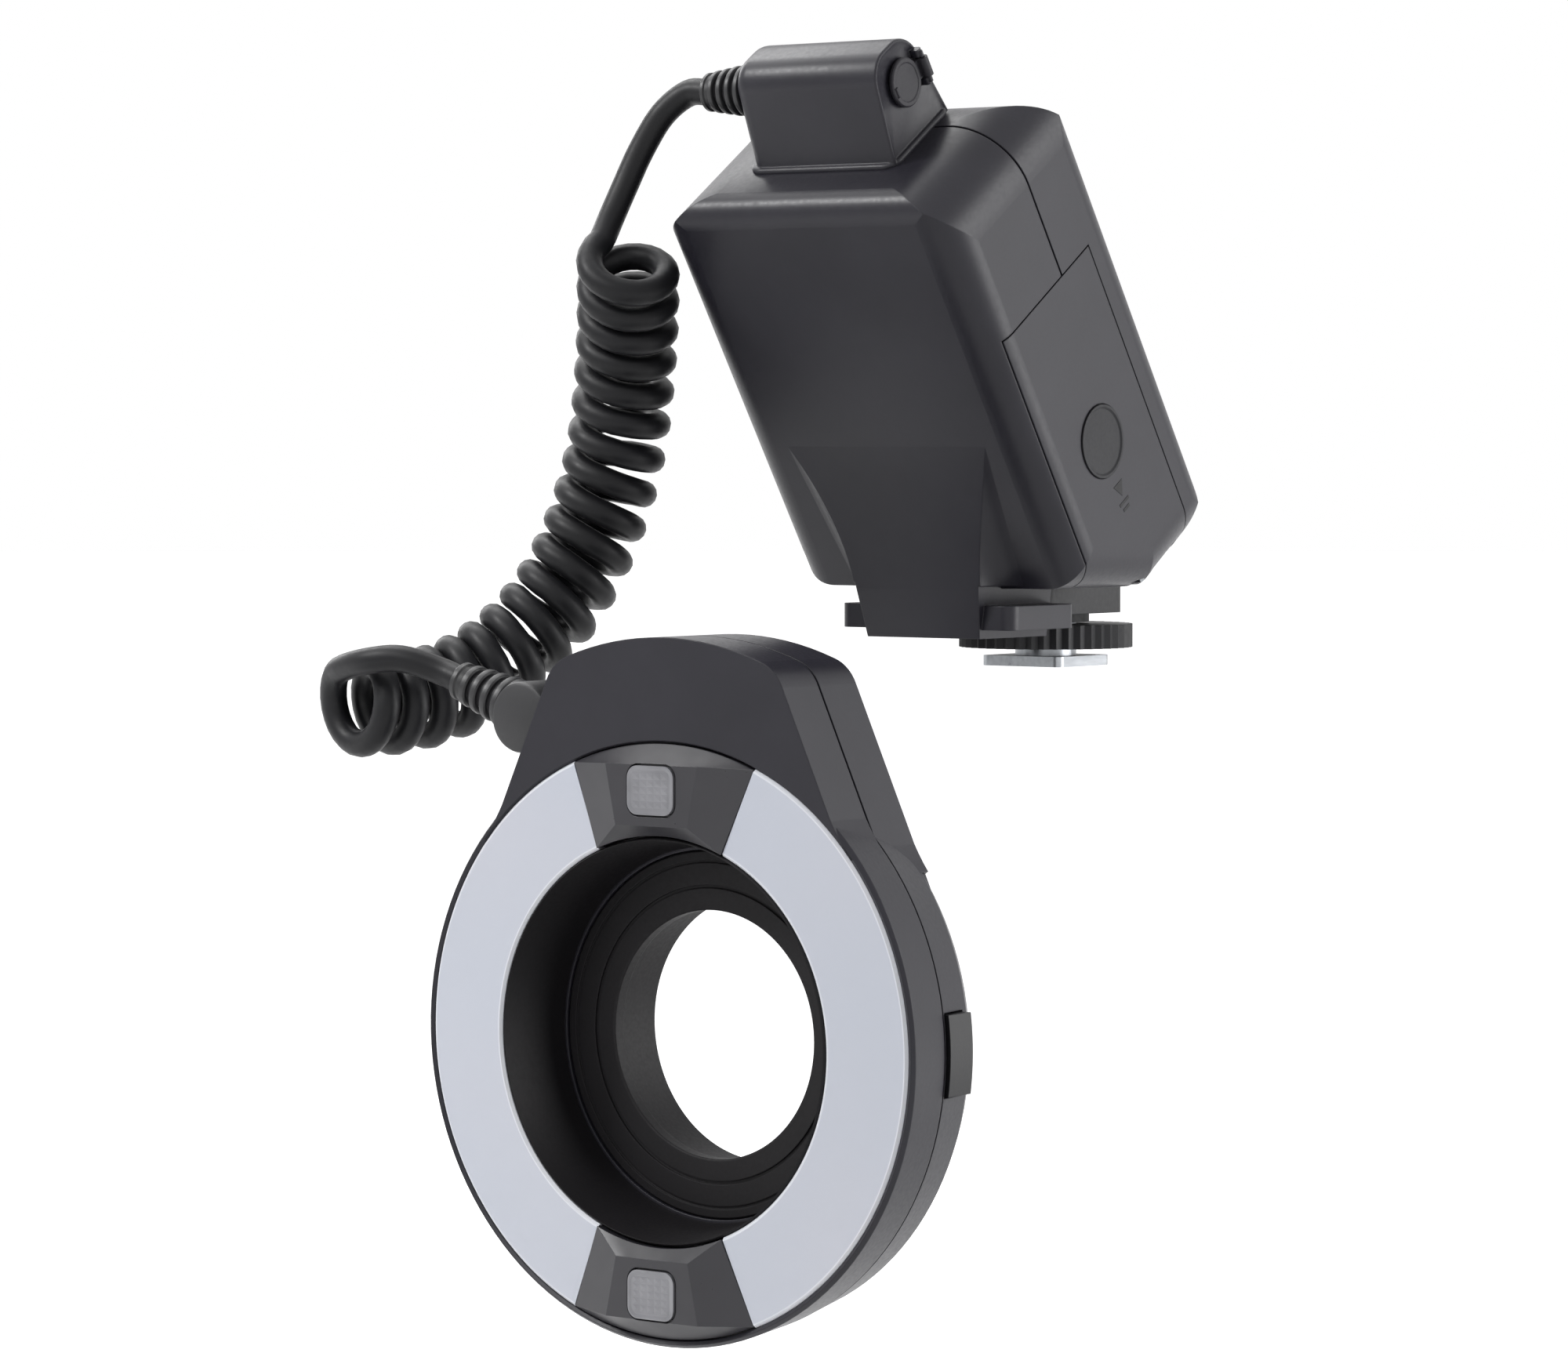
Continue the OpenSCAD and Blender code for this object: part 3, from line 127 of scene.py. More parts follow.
softbox("softbox_above", (-0.55, 0.05, 1.20), 1.1, 0.9, 0.42)
softbox("key_high_left", (-0.76, -0.86, 0.86), 0.25, 0.25, 0.48)
softbox("softbox_right", (1.15, 0.62, 0.24), 0.9, 1.2, 0.85)
softbox("front_soft", (-0.20, -1.15, 0.85), 0.8, 0.6, 0.26)
softbox("strip_left", (-1.00, 0.35, 0.75), 0.35, 1.3, 0.30)


def seen_rays(tree):
    ray = add(tree, "ShaderNodeLightPath").outputs
    seen = ray["Is Camera Ray"]
    for kind in ("Is Glossy Ray", "Is Transmission Ray"):
        seen = add(tree, "ShaderNodeMath", {0: seen, 1: ray[kind]}, operation="MAXIMUM").outputs[0]
    return seen


LIGHTING_LEVEL = 0.18
world = bpy.data.worlds.new("studio_tent")
scene.world = world
world.use_nodes = True
tree = world.node_tree
tree.nodes.clear()
level = add(tree, "ShaderNodeMapRange", {"Value": seen_rays(tree), "To Min": LIGHTING_LEVEL, "To Max": 1.0})
glow = add(tree, "ShaderNodeBackground", {"Color": (1, 1, 1, 1), "Strength": level.outputs[0]})
add(tree, "ShaderNodeOutputWorld", {"Surface": glow.outputs[0]})

# %% [markdown]
# The floor is a pale sheet well below the ring, because on the camera the flash hangs free. It is
# matt white paper that catches a soft shadow. It glows towards the camera and in reflections, faintly
# under the object and more with the distance, so that it runs into the white background without a line.

# %% Floor
FLOOR_R = 14
FLOOR_Z = -0.26
bpy.ops.object.select_all(action="DESELECT")
bpy.ops.mesh.primitive_circle_add(vertices=96, radius=FLOOR_R, fill_type="NGON", location=(0, 0, FLOOR_Z))
floor = bpy.context.object
floor.name = "studio_floor"
bpy.ops.object.transform_apply(location=True, rotation=False, scale=False)
paper = bpy.data.materials.new("paper_matt_white")
paper.use_nodes = True
tree = paper.node_tree
spot = add(tree, "ShaderNodeTexCoord").outputs["Object"]
away = add(tree, "ShaderNodeVectorMath", {0: spot}, operation="LENGTH").outputs["Value"]
fade = add(tree, "ShaderNodeMapRange", {"Value": away, "From Min": 0.45, "From Max": 1.3,
                                        "To Min": 0.25, "To Max": 0.95}, interpolation_type="SMOOTHSTEP")
level = add(tree, "ShaderNodeMath", {0: seen_rays(tree), 1: fade.outputs[0]}, operation="MULTIPLY")
sheet_shader = tree.nodes["Principled BSDF"]
sheet_shader.inputs["Base Color"].default_value = linear("#efefef")
sheet_shader.inputs["Roughness"].default_value = 0.9
sheet_shader.inputs["Emission Color"].default_value = (1, 1, 1, 1)
tree.links.new(level.outputs[0], sheet_shader.inputs["Emission Strength"])
floor.data.materials.append(paper)
print("floor at", floor.data.vertices[0].co.z)

# %% [markdown]
# The curly cord joins the control unit to the ring. Such a cord is a straight jacketed cable that
# was wound on a rod and heated, so it is one line along a helix whose axis bends under its own
# weight. The route repeats the points that the solid of the cord follows: a lead from the cord head,
# the curls round their axis, and a lead into the ring.

# %% Route of the cord
LEAN = radians(34)
UNIT_AT = Vector((0, -27.4, 3.3))
RING_AT = Vector((0, -122, -63.5))
CORD_D = 5.1
CURL_R = 7.2
CURLS = 19
CURL_SPREAD = 0.03
TOP_ROUTE = [(-36.5, -75, 105.3), (-40.3, -76.6, 98.8), (-42.6, -78.7, 92), (-43.6, -81.6, 86)]
AXIS_ROUTE = [
    (-37, -85, 78), (-43, -77.5, 66.5), (-47.5, -73, 54.5), (-51, -71, 42.5), (-54.5, -71.5, 31),
    (-58, -74, 20.5), (-62, -78.5, 11), (-66.5, -85.5, 3), (-71, -94, -2.5), (-75.5, -104.5, -5.5),
    (-80, -116.5, -6),
]
RING_ROUTE = [(-18.9, -4.5, 3.3), (-11.9, -3, 3.8)]
BOOT_TILT = radians(18)
BOOT_REACH = 19.6
into_unit = Matrix.Translation(UNIT_AT) @ Matrix.Rotation(LEAN, 4, "X")
head_exit = into_unit @ Vector((-26.5, 21, 113.5))
ring_out = Vector((-cos(BOOT_TILT), 0, sin(BOOT_TILT)))
boss_at = RING_AT + Vector((-34.484, 7.5, 57))
ring_exit = boss_at + ring_out * BOOT_REACH


def through(points, place):
    last = len(points) - 1
    i = min(int(place), last - 1)
    u = place - i
    b, c = points[i], points[i + 1]
    a = points[i - 1] if i > 0 else 2 * b - c
    d = points[i + 2] if i + 2 <= last else 2 * c - b
    square = 2 * a - 5 * b + 4 * c - d
    cube = 3 * b - a - 3 * c + d
    return 0.5 * (2 * b + u * (c - a) + u * u * square + u ** 3 * cube)


AXIS_STEPS = 12
axis_marks = [Vector(p) for p in AXIS_ROUTE]
axis = [through(axis_marks, i / AXIS_STEPS) for i in range(AXIS_STEPS * (len(axis_marks) - 1) + 1)]
run = [0.0]
for near, far in zip(axis, axis[1:]):
    run.append(run[-1] + (far - near).length)


def curl_point(share):
    along = share * run[-1]
    i = max(k for k in range(len(axis) - 1) if run[k] <= along)
    u = (along - run[i]) / (run[i + 1] - run[i])
    ahead = (axis[min(i + 2, len(axis) - 1)] - axis[max(i - 1, 0)]).normalized()
    across = ahead.cross(Vector((0, 1, 0))).normalized()
    over = ahead.cross(across)
    turn = pi - 2 * pi * CURLS * share * (1 + CURL_SPREAD - CURL_SPREAD * share)
    return axis[i].lerp(axis[i + 1], u) + CURL_R * (cos(turn) * across + sin(turn) * over)


def share_at(turned):
    k = CURL_SPREAD
    return ((1 + k) - sqrt((1 + k) ** 2 - 4 * k * turned)) / (2 * k)


TURN_POINTS = 24
curl_count = TURN_POINTS * CURLS
curls = [curl_point(share_at(i / curl_count)) for i in range(curl_count + 1)]
LEAD_STEPS = 6
top_marks = [head_exit, head_exit - Vector((CORD_D, 0, 0))] + [Vector(p) for p in TOP_ROUTE]
top_marks += [curls[0], curls[3]]
ring_marks = [curls[-4], curls[-1]] + [ring_exit + Vector(p) for p in RING_ROUTE]
ring_marks += [ring_exit + CORD_D * ring_out, ring_exit]
top_steps = LEAD_STEPS * (len(top_marks) - 2)
ring_steps = LEAD_STEPS * (len(ring_marks) - 2)
top_lead = [through(top_marks, i / LEAD_STEPS) for i in range(top_steps)]
ring_lead = [through(ring_marks, 1 + i / LEAD_STEPS) for i in range(1, ring_steps + 1)]
route = [p * MM for p in top_lead + curls + ring_lead]

# %% [markdown]
# A curve with a round bevel is the natural tool for a cord: its points are the route, and its bevel is
# the jacket. The thickness is given to the points and the bevel is left at one, so that the curve's own
# box fits the tube. A sweep of a circle would give the same tube, but its route couldn't be read off.

# %% The cord as a bevelled curve
def tube(name, points, diameter, resolution):
    line = bpy.data.curves.new(name, "CURVE")
    line.dimensions = "3D"
    line.bevel_depth = 1
    line.bevel_resolution = resolution
    line.use_fill_caps = True
    strand = line.splines.new("POLY")
    strand.points.add(len(points) - 1)
    for point, place in zip(strand.points, points):
        point.co = (*place, 1)
        point.radius = diameter / 2 * MM
    strand.use_smooth = True
    piece = bpy.data.objects.new(name, line)
    scene.collection.objects.link(piece)
    return piece


curly_cord = tube("curly_cord", route, CORD_D, 5)
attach(curly_cord, "control_unit")
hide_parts("cord_top_lead", "cord_coil", "cord_ring_lead")
print("cord leaves at", [round(v, 4) for v in head_exit * MM])

# %% [markdown]
# Moulded plastic gets its look from the mould. A spark-eroded steel mould leaves a fine pebble on
# the part, and the pigment is never quite even. One function gives that family of finishes, and the
# grain size, the two tones and the gloss tell a housing from a key or a strain relief. Real tools
# round each edge a little, so the normal comes through a bevel of a few tenths of a millimetre.

# %% Moulded plastics
def material(name):
    made = bpy.data.materials.new(name)
    made.use_nodes = True
    tree = made.node_tree
    where = add(tree, "ShaderNodeTexCoord").outputs["Object"]
    return made, tree, tree.nodes["Principled BSDF"], where


CLOUD_MM = 18


def moulded(name, dark, light, grain_mm, depth, gloss, sheen_level=0.3, edge_mm=0.35):
    made, tree, shader, where = material(name)
    cloud = add(tree, "ShaderNodeTexNoise", {"Vector": where, "Scale": 1 / (CLOUD_MM * MM), "Detail": 3.0})
    tone = add(tree, "ShaderNodeValToRGB", {"Fac": cloud.outputs[0]})
    tone.color_ramp.elements[0].position = 0.3
    tone.color_ramp.elements[0].color = linear(dark)
    tone.color_ramp.elements[1].position = 0.7
    tone.color_ramp.elements[1].color = linear(light)
    grain = add(tree, "ShaderNodeTexVoronoi", {"Vector": where, "Scale": 1 / (grain_mm * MM)},
                feature="SMOOTH_F1")
    rough = add(tree, "ShaderNodeMapRange", {"Value": grain.outputs[0], "To Min": gloss - 0.05,
                                             "To Max": gloss + 0.07})
    edge = add(tree, "ShaderNodeBevel", {"Radius": edge_mm * MM}, samples=4)
    bump = add(tree, "ShaderNodeBump", {"Height": grain.outputs[0], "Strength": 0.35,
                                        "Distance": depth * MM, "Normal": edge.outputs[0]})
    shader.inputs["Specular IOR Level"].default_value = sheen_level
    shader.inputs["IOR"].default_value = 1.54
    for socket, value in (("Base Color", tone), ("Roughness", rough), ("Normal", bump)):
        tree.links.new(value.outputs[0], shader.inputs[socket])
    return made


# ABS of the housings: satin charcoal with a fine pebble, which scatters a soft broad highlight.
abs_charcoal = moulded("abs_charcoal_satin", "#212027", "#27262d", 0.7, 0.02, 0.36, 0.27)
# ABS of the barrel and the adapter: flat black and matt, so that no stray light reaches the lens.
abs_matt_black = moulded("abs_black_matt", "#0d0b0e", "#121013", 0.6, 0.02, 0.58, 0.22, 0.3)
# ABS of keys and buttons: the same mould texture in black, a little finer.
abs_black = moulded("abs_black_satin", "#121214", "#18181b", 0.5, 0.02, 0.36, 0.28, 0.2)
# Glass-filled nylon of the foot parts: black and drier, with a coarser skin.
nylon_black = moulded("nylon_black_dry", "#19191b", "#202023", 0.8, 0.03, 0.52, 0.30, 0.2)
# Thermoplastic rubber of pads and covers: dull and slightly grey, with almost no highlight.
rubber_soft = moulded("rubber_soft_grey", "#232326", "#29292c", 0.6, 0.03, 0.55, 0.22, 0.2)
# Vinyl jacket of the cord: smooth extruded skin with a long soft sheen.
vinyl_jacket = moulded("vinyl_jacket_satin", "#151517", "#1b1b1e", 1.1, 0.01, 0.44, 0.20, 0.05)
# ABS of the lamp bridges: a polished mould, so that the facets mirror the softboxes.
abs_polished = moulded("abs_charcoal_polished", "#28272c", "#2d2c31", 2.5, 0.002, 0.32, 0.42, 0.2)
plastics = (abs_charcoal, abs_matt_black, abs_black, nylon_black, rubber_soft, vinyl_jacket, abs_polished)
print("moulded finishes:", [plastic.name for plastic in plastics])

# %% [markdown]
# The diffusers are opal polycarbonate: a milky sheet with a frosted face that hides the tubes. A thin
# rim along the inner and the outer arc is painted nearly white into the base colour, a painted highlight
# where the cut edges catch the light. The rim follows the radius round the ring's axis, which is a length
# in Object coordinates once a Mapping node has moved the origin to the axis.

# %% Opal diffuser
def opal(name, body_tone, rim_highlight_tone, inner_mm, outer_mm, rim_mm):
    made, tree, shader, where = material(name)
    shift = add(tree, "ShaderNodeMapping", {"Vector": where, "Location": -RING_AT * MM})
    flat = add(tree, "ShaderNodeVectorMath", {0: shift.outputs[0], 1: (1, 0, 1)}, operation="MULTIPLY")
    radius = add(tree, "ShaderNodeVectorMath", {0: flat.outputs[0]}, operation="LENGTH").outputs["Value"]
    ramp = add(tree, "ShaderNodeMapRange", {"Value": radius, "From Min": inner_mm * MM,
                                            "From Max": outer_mm * MM})
    span = outer_mm - inner_mm
    tone = add(tree, "ShaderNodeValToRGB", {"Fac": ramp.outputs[0]})
    # the rim stops at both arcs are a painted highlight along the cut edges
    stops = [(0, rim_highlight_tone), (rim_mm / span, rim_highlight_tone), (1.6 * rim_mm / span, body_tone),
             (1 - 1.6 * rim_mm / span, body_tone), (1 - rim_mm / span, rim_highlight_tone), (1, rim_highlight_tone)]
    while len(tone.color_ramp.elements) < len(stops):
        tone.color_ramp.elements.new(0.5)
    for stop, (place, colour) in zip(tone.color_ramp.elements, stops):
        stop.position = place
        stop.color = linear(colour)
    cloud = add(tree, "ShaderNodeTexNoise", {"Vector": where, "Scale": 1 / (45 * MM), "Detail": 1.0})
    tint = add(tree, "ShaderNodeMix", {"Factor": cloud.outputs[0], "A": linear("#e9edf4"),
                                       "B": linear("#f4f2f6")}, data_type="RGBA")
    blend = add(tree, "ShaderNodeMix", {"Factor": 1.0, "A": tone.outputs[0], "B": tint.outputs["Result"]},
                data_type="RGBA", blend_type="MULTIPLY")
    frost = add(tree, "ShaderNodeTexNoise", {"Vector": where, "Scale": 1 / (0.5 * MM), "Detail": 1.0})
    bump = add(tree, "ShaderNodeBump", {"Height": frost.outputs[0], "Strength": 0.12, "Distance": 0.02 * MM})
    tree.links.new(blend.outputs["Result"], shader.inputs["Base Color"])
    tree.links.new(bump.outputs[0], shader.inputs["Normal"])
    shader.inputs["Roughness"].default_value = 0.38
    shader.inputs["IOR"].default_value = 1.58
    shader.inputs["Subsurface Weight"].default_value = 0.12
    shader.inputs["Subsurface Radius"].default_value = (0.002, 0.002, 0.0022)
    return made


# the near-white tone is the painted highlight of the rims
opal_sheet = opal("polycarbonate_opal", "#d2d5db", "#fafbfc", 36.7, 53.6, 0.5)
print("opal sheet ready")

# %% [markdown]
# The rest of the solids are clear lenses, metals, a circuit board, cells and coils. Each starts from
# the typical values of its material. Most are seen only through the battery door or the opening, but
# a part that opens has to look right inside as well.

# %% Clear and printed finishes
# Polycarbonate over a focusing lamp: smoky grey with a gloss face, so that its prisms catch the light.
lamp_lens, tree, shader, where = material("polycarbonate_prism_grey")
smoke = add(tree, "ShaderNodeTexNoise", {"Vector": where, "Scale": 1 / (5 * MM), "Detail": 1.0})
tone = add(tree, "ShaderNodeMix", {"Factor": smoke.outputs[0], "A": linear("#6a6a6f"),
                                   "B": linear("#8c8c91")}, data_type="RGBA")
tree.links.new(tone.outputs["Result"], shader.inputs["Base Color"])
shader.inputs["Roughness"].default_value = 0.3
shader.inputs["IOR"].default_value = 1.58
shader.inputs["Coat Weight"].default_value = 0.3
shader.inputs["Coat Roughness"].default_value = 0.15

# Clear acrylic of the display window: a hard gloss over what lies behind it.
clear_window, tree, shader, where = material("acrylic_clear")
haze = add(tree, "ShaderNodeTexNoise", {"Vector": where, "Scale": 1 / (6 * MM), "Detail": 2.0})
rough = add(tree, "ShaderNodeMapRange", {"Value": haze.outputs[0], "To Min": 0.02, "To Max": 0.07})
tree.links.new(rough.outputs[0], shader.inputs["Roughness"])
shader.inputs["Base Color"].default_value = linear("#eef2ef")
shader.inputs["Transmission Weight"].default_value = 1.0
shader.inputs["IOR"].default_value = 1.49

# Display panel: grey-green polariser film with the faint grid of its cells.
panel_film, tree, shader, where = material("display_film_green_grey")
lean_back = add(tree, "ShaderNodeMapping", {"Vector": where, "Rotation": (-LEAN, 0, 0)})
grid = add(tree, "ShaderNodeTexBrick", {"Vector": lean_back.outputs[0], "Scale": 1 / (1.2 * MM),
                                        "Color1": linear("#9aa69a"), "Color2": linear("#97a397"),
                                        "Mortar": linear("#8b978c"), "Mortar Size": 0.03,
                                        "Brick Width": 1.0, "Row Height": 1.0})
tree.links.new(grid.outputs[0], shader.inputs["Base Color"])
shader.inputs["Roughness"].default_value = 0.3

# Test button: translucent red acrylic that doubles as the ready lamp.
test_red = moulded("acrylic_red_translucent", "#7a1512", "#8a1c18", 1.5, 0.005, 0.30, 0.3, 0.4)
# Quartz glass of the flash tubes: clear skin with a pale milky core.
quartz = moulded("quartz_tube_pale", "#dfe6ea", "#eef3f6", 3.0, 0.004, 0.10, 0.5, 0.05)
# Shrink sleeve of the cells: printed film in silver grey and slate.
cell_sleeve = moulded("shrink_sleeve_slate", "#4a5664", "#56626f", 4.0, 0.01, 0.30, 0.5, 0.2)
# Aluminium can of the flash capacitor in its dark sleeve.
can_sleeve = moulded("shrink_sleeve_navy", "#23273a", "#2b3046", 4.0, 0.01, 0.32, 0.5, 0.2)
# Wound coils under amber tape: overlapping turns with a dull gloss.
amber_tape = moulded("polyimide_tape_amber", "#7d6230", "#8f7139", 2.0, 0.05, 0.30, 0.5, 0.2)
# Solder mask on glass-epoxy laminate: green lacquer over a fine weave.
solder_mask = moulded("solder_mask_green", "#1f4a2c", "#275937", 0.9, 0.03, 0.33, 0.5, 0.1)
print("clear and printed finishes ready")

# %% [markdown]
# A metal part shows how it was worked: drawn steel has lines, a plated pin is nearly smooth. One stretched
# noise gives the tone, the roughness and a trace of relief, so that the three agree with each other.

# %% Metals
def metal(name, dark, light, scratch_mm, gloss, stretch=(1, 1, 1)):
    made, tree, shader, where = material(name)
    spread = add(tree, "ShaderNodeMapping", {"Vector": where, "Scale": stretch})
    lines = add(tree, "ShaderNodeTexNoise", {"Vector": spread.outputs[0], "Scale": 1 / (scratch_mm * MM),
                                             "Detail": 4.0})
    tone = add(tree, "ShaderNodeMix", {"Factor": lines.outputs[0], "A": linear(dark), "B": linear(light)},
               data_type="RGBA")
    rough = add(tree, "ShaderNodeMapRange", {"Value": lines.outputs[0], "To Min": gloss - 0.08,
                                             "To Max": gloss + 0.1})
    bump = add(tree, "ShaderNodeBump", {"Height": lines.outputs[0], "Strength": 0.15, "Distance": 0.01 * MM})
    shader.inputs["Metallic"].default_value = 1.0
    tree.links.new(tone.outputs["Result"], shader.inputs["Base Color"])
    tree.links.new(rough.outputs[0], shader.inputs["Roughness"])
    tree.links.new(bump.outputs[0], shader.inputs["Normal"])
    return made


# Nickel-plated steel: cool and bright, with fine drawn lines.
plated_steel = metal("steel_nickel_plated", "#8d9094", "#b4b7bb", 0.8, 0.30, (1, 0.15, 1))
# Blackened steel of the screws: dark oxide that shines only where a driver has touched it.
black_steel = metal("steel_black_oxide", "#2a2a2c", "#444447", 0.5, 0.38)
# Gold-plated brass of the contacts.
gold_plate = metal("brass_gold_plated", "#a8864a", "#c9a765", 0.6, 0.25)
# Vapour-coated aluminium of the reflectors.
mirror_sheet = metal("aluminium_bright", "#c9ccd0", "#dfe1e4", 1.5, 0.18)
print("metals:", [m.name for m in (plated_steel, black_steel, gold_plate, mirror_sheet)])

# %% [markdown]
# Each solid gets the finish of what it is made of. A list of node names for each finish keeps this
# in one place, and the count at the end tells whether a node was forgotten.

# %% Dress the solids
finishes = {
    abs_charcoal: ["front_shell", "rear_shell", "cord_head", "battery_door", "ring_front_shell",
                   "ring_rear_shell"],
    abs_polished: ["lamp_bridge_top", "lamp_bridge_bottom"],
    abs_black: ["light_button", "mode_button", "sync_button", "ratio_button", "minus_button", "set_button",
                "plus_button", "power_switch", "release_button_left", "release_button_right",
                "battery_box", "power_socket"],
    abs_matt_black: ["inner_barrel", "adapter_ring"],
    nylon_black: ["foot_base", "lock_wheel", "door_hinge", "head_gland", "ring_gland"],
    rubber_soft: ["door_thumb_pad", "socket_cover"],
    vinyl_jacket: ["cord_top_lead", "cord_coil", "cord_ring_lead"],
    opal_sheet: ["diffuser_left", "diffuser_right"],
    lamp_lens: ["lamp_window_top", "lamp_window_bottom"],
    clear_window: ["display_window"],
    panel_film: ["display_module"],
    test_red: ["test_button"],
    quartz: ["flash_tube_left", "flash_tube_right", "focusing_lamps"],
    cell_sleeve: ["battery_cells"],
    can_sleeve: ["flash_capacitor"],
    amber_tape: ["step_up_transformer", "trigger_coil"],
    solder_mask: ["main_board"],
    plated_steel: ["shoe_foot", "battery_contacts", "door_contacts", "door_pin", "lock_pin", "latch_ring",
                   "release_springs"],
    black_steel: ["case_screws", "ring_screws"],
    gold_plate: ["shoe_contacts"],
    mirror_sheet: ["reflector_left", "reflector_right"],
}
dressed = set()
for finish, names in finishes.items():
    for name in names:
        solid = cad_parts[name]
        for part in solid if isinstance(solid, (list, tuple)) else [solid]:
            part.data.materials.clear()
            part.data.materials.append(finish)
        dressed.add(name)
curly_cord.data.materials.append(vinyl_jacket)
print("dressed", len(dressed), "of", len(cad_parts), "missing", sorted(set(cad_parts) - dressed))

# %% [markdown]
# The small pieces come next, and three helpers carry them. Modelling by hand means picking faces or edges
# and giving them to an operator, so `choose` picks by a test on the place or the normal. `cut` takes one
# shape out of another with a Boolean. A finished piece then gets its place in its mesh, with the object
# back at the origin, and `settle` does that together with the finish, the body and the material slot.

# %% Helpers for modelling
UNIT = Matrix.Translation(UNIT_AT * MM) @ Matrix.Rotation(LEAN, 4, "X")
RING = Matrix.Translation(RING_AT * MM) @ Matrix.Rotation(-pi / 2, 4, "X")


def at(x, y, z):
    return Matrix.Translation(Vector((x, y, z)) * MM)


def choose(piece, kind, test):
    bpy.ops.object.mode_set(mode="EDIT")
    bpy.ops.mesh.select_mode(type=kind)
    bpy.ops.mesh.select_all(action="DESELECT")
    bpy.ops.object.mode_set(mode="OBJECT")
    mesh = piece.data
    for part in {"FACE": mesh.polygons, "EDGE": mesh.edges, "VERT": mesh.vertices}[kind]:
        part.select = test(part)
    bpy.ops.object.mode_set(mode="EDIT")


def cut(piece, cutter, name):
    bpy.context.view_layer.objects.active = piece
    hollow = piece.modifiers.new(name, "BOOLEAN")
    hollow.operation = "DIFFERENCE"
    hollow.object = cutter
    bpy.ops.object.modifier_apply(modifier=hollow.name)
    bpy.data.objects.remove(cutter)


def settle(piece, place, finish, body, crease=32):
    bpy.ops.object.select_all(action="DESELECT")
    piece.select_set(True)
    bpy.context.view_layer.objects.active = piece
    piece.matrix_world = place
    bpy.ops.object.transform_apply(location=True, rotation=True, scale=True)
    bpy.ops.object.shade_smooth_by_angle(angle=radians(crease))
    piece.data.materials.clear()
    piece.data.materials.append(finish)
    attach(piece, body)
    return piece


print("unit frame leans", round(LEAN * 180 / pi, 1), "degrees")

# %% [markdown]
# Anything round about an axis is turned, as on a lathe: one vertex is drawn along half of the section,
# and the line is spun round the axis. A plane merged to its centre gives that first vertex. The points
# are pairs of radius and height in millimetres, and the axis is the piece's own Z.

# %% A lathe
LATHE_STEPS = 72


def turned(name, section, steps=LATHE_STEPS, angle=2 * pi):
    bpy.ops.object.select_all(action="DESELECT")
    bpy.ops.mesh.primitive_plane_add(size=1 * MM, location=(0, 0, 0))
    piece = bpy.context.object
    piece.name = name
    bpy.ops.object.mode_set(mode="EDIT")
    bpy.ops.mesh.select_mode(type="VERT")
    bpy.ops.mesh.select_all(action="SELECT")
    bpy.ops.mesh.merge(type="CENTER")
    bpy.ops.transform.translate(value=(section[0][0] * MM, 0, section[0][1] * MM))
    for (r0, h0), (r1, h1) in zip(section, section[1:]):
        step = ((r1 - r0) * MM, 0, (h1 - h0) * MM)
        bpy.ops.mesh.extrude_vertices_move(TRANSFORM_OT_translate={"value": step})
    bpy.ops.mesh.select_all(action="SELECT")
    bpy.ops.mesh.spin(steps=steps, angle=angle, center=(0, 0, 0), axis=(0, 0, 1))
    bpy.ops.mesh.select_all(action="SELECT")
    bpy.ops.mesh.remove_doubles(threshold=0.002 * MM)
    bpy.ops.mesh.normals_make_consistent(inside=False)
    bpy.ops.object.mode_set(mode="OBJECT")
    return piece


def joined(name, parts):
    bpy.ops.object.select_all(action="DESELECT")
    for part in parts:
        part.select_set(True)
    bpy.context.view_layer.objects.active = parts[0]
    bpy.ops.object.join()
    parts[0].name = name
    return parts[0]


print("lathe:", LATHE_STEPS, "steps a turn")

# %% [markdown]
# A strain relief is moulded round the cord from a dry black elastomer. Its ribs let it bend evenly, and
# their round crests catch the light one by one, which the square steps of the solid can't do. The same
# ribs serve both ends of the cord. At the ring they grow out of a round boss, which is turned as well.

# %% Strain reliefs
# Elastomer of the strain reliefs: black and dry, with a soft sheen along each crest.
elastomer_black = moulded("elastomer_black_dry", "#1a1a1c", "#222225", 0.7, 0.02, 0.42, 0.45, 0.15)
RIBS = 4
HEAD_BOOT_L = 10
RING_BOOT_L = 13
RING_BOOT_FROM = 6.6


def boot_section(length):
    pitch = length / (RIBS + 0.5)
    section = [(0, 0), (4.1, 0)]
    for i in range(RIBS):
        crest = 5 - i * 1.3 / RIBS
        low = i * pitch
        section += [(crest - 0.9, low), (crest - 0.35, low + 0.03 * pitch),
                    (crest - 0.08, low + 0.12 * pitch), (crest, low + 0.3 * pitch),
                    (crest - 0.08, low + 0.48 * pitch), (crest - 0.35, low + 0.57 * pitch),
                    (crest - 0.9, low + 0.6 * pitch)]
    collar = [(3.35, RIBS * pitch), (3.65, (RIBS + 0.1) * pitch), (3.65, length - 0.3)]
    return section + collar + [(3.4, length), (0, length)]


head_boot = turned("cord_boot_head", boot_section(HEAD_BOOT_L))
settle(head_boot, UNIT @ at(-16.5, 21, 113.5) @ Matrix.Rotation(-pi / 2, 4, "Y"), elastomer_black,
       "control_unit")
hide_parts("head_gland")

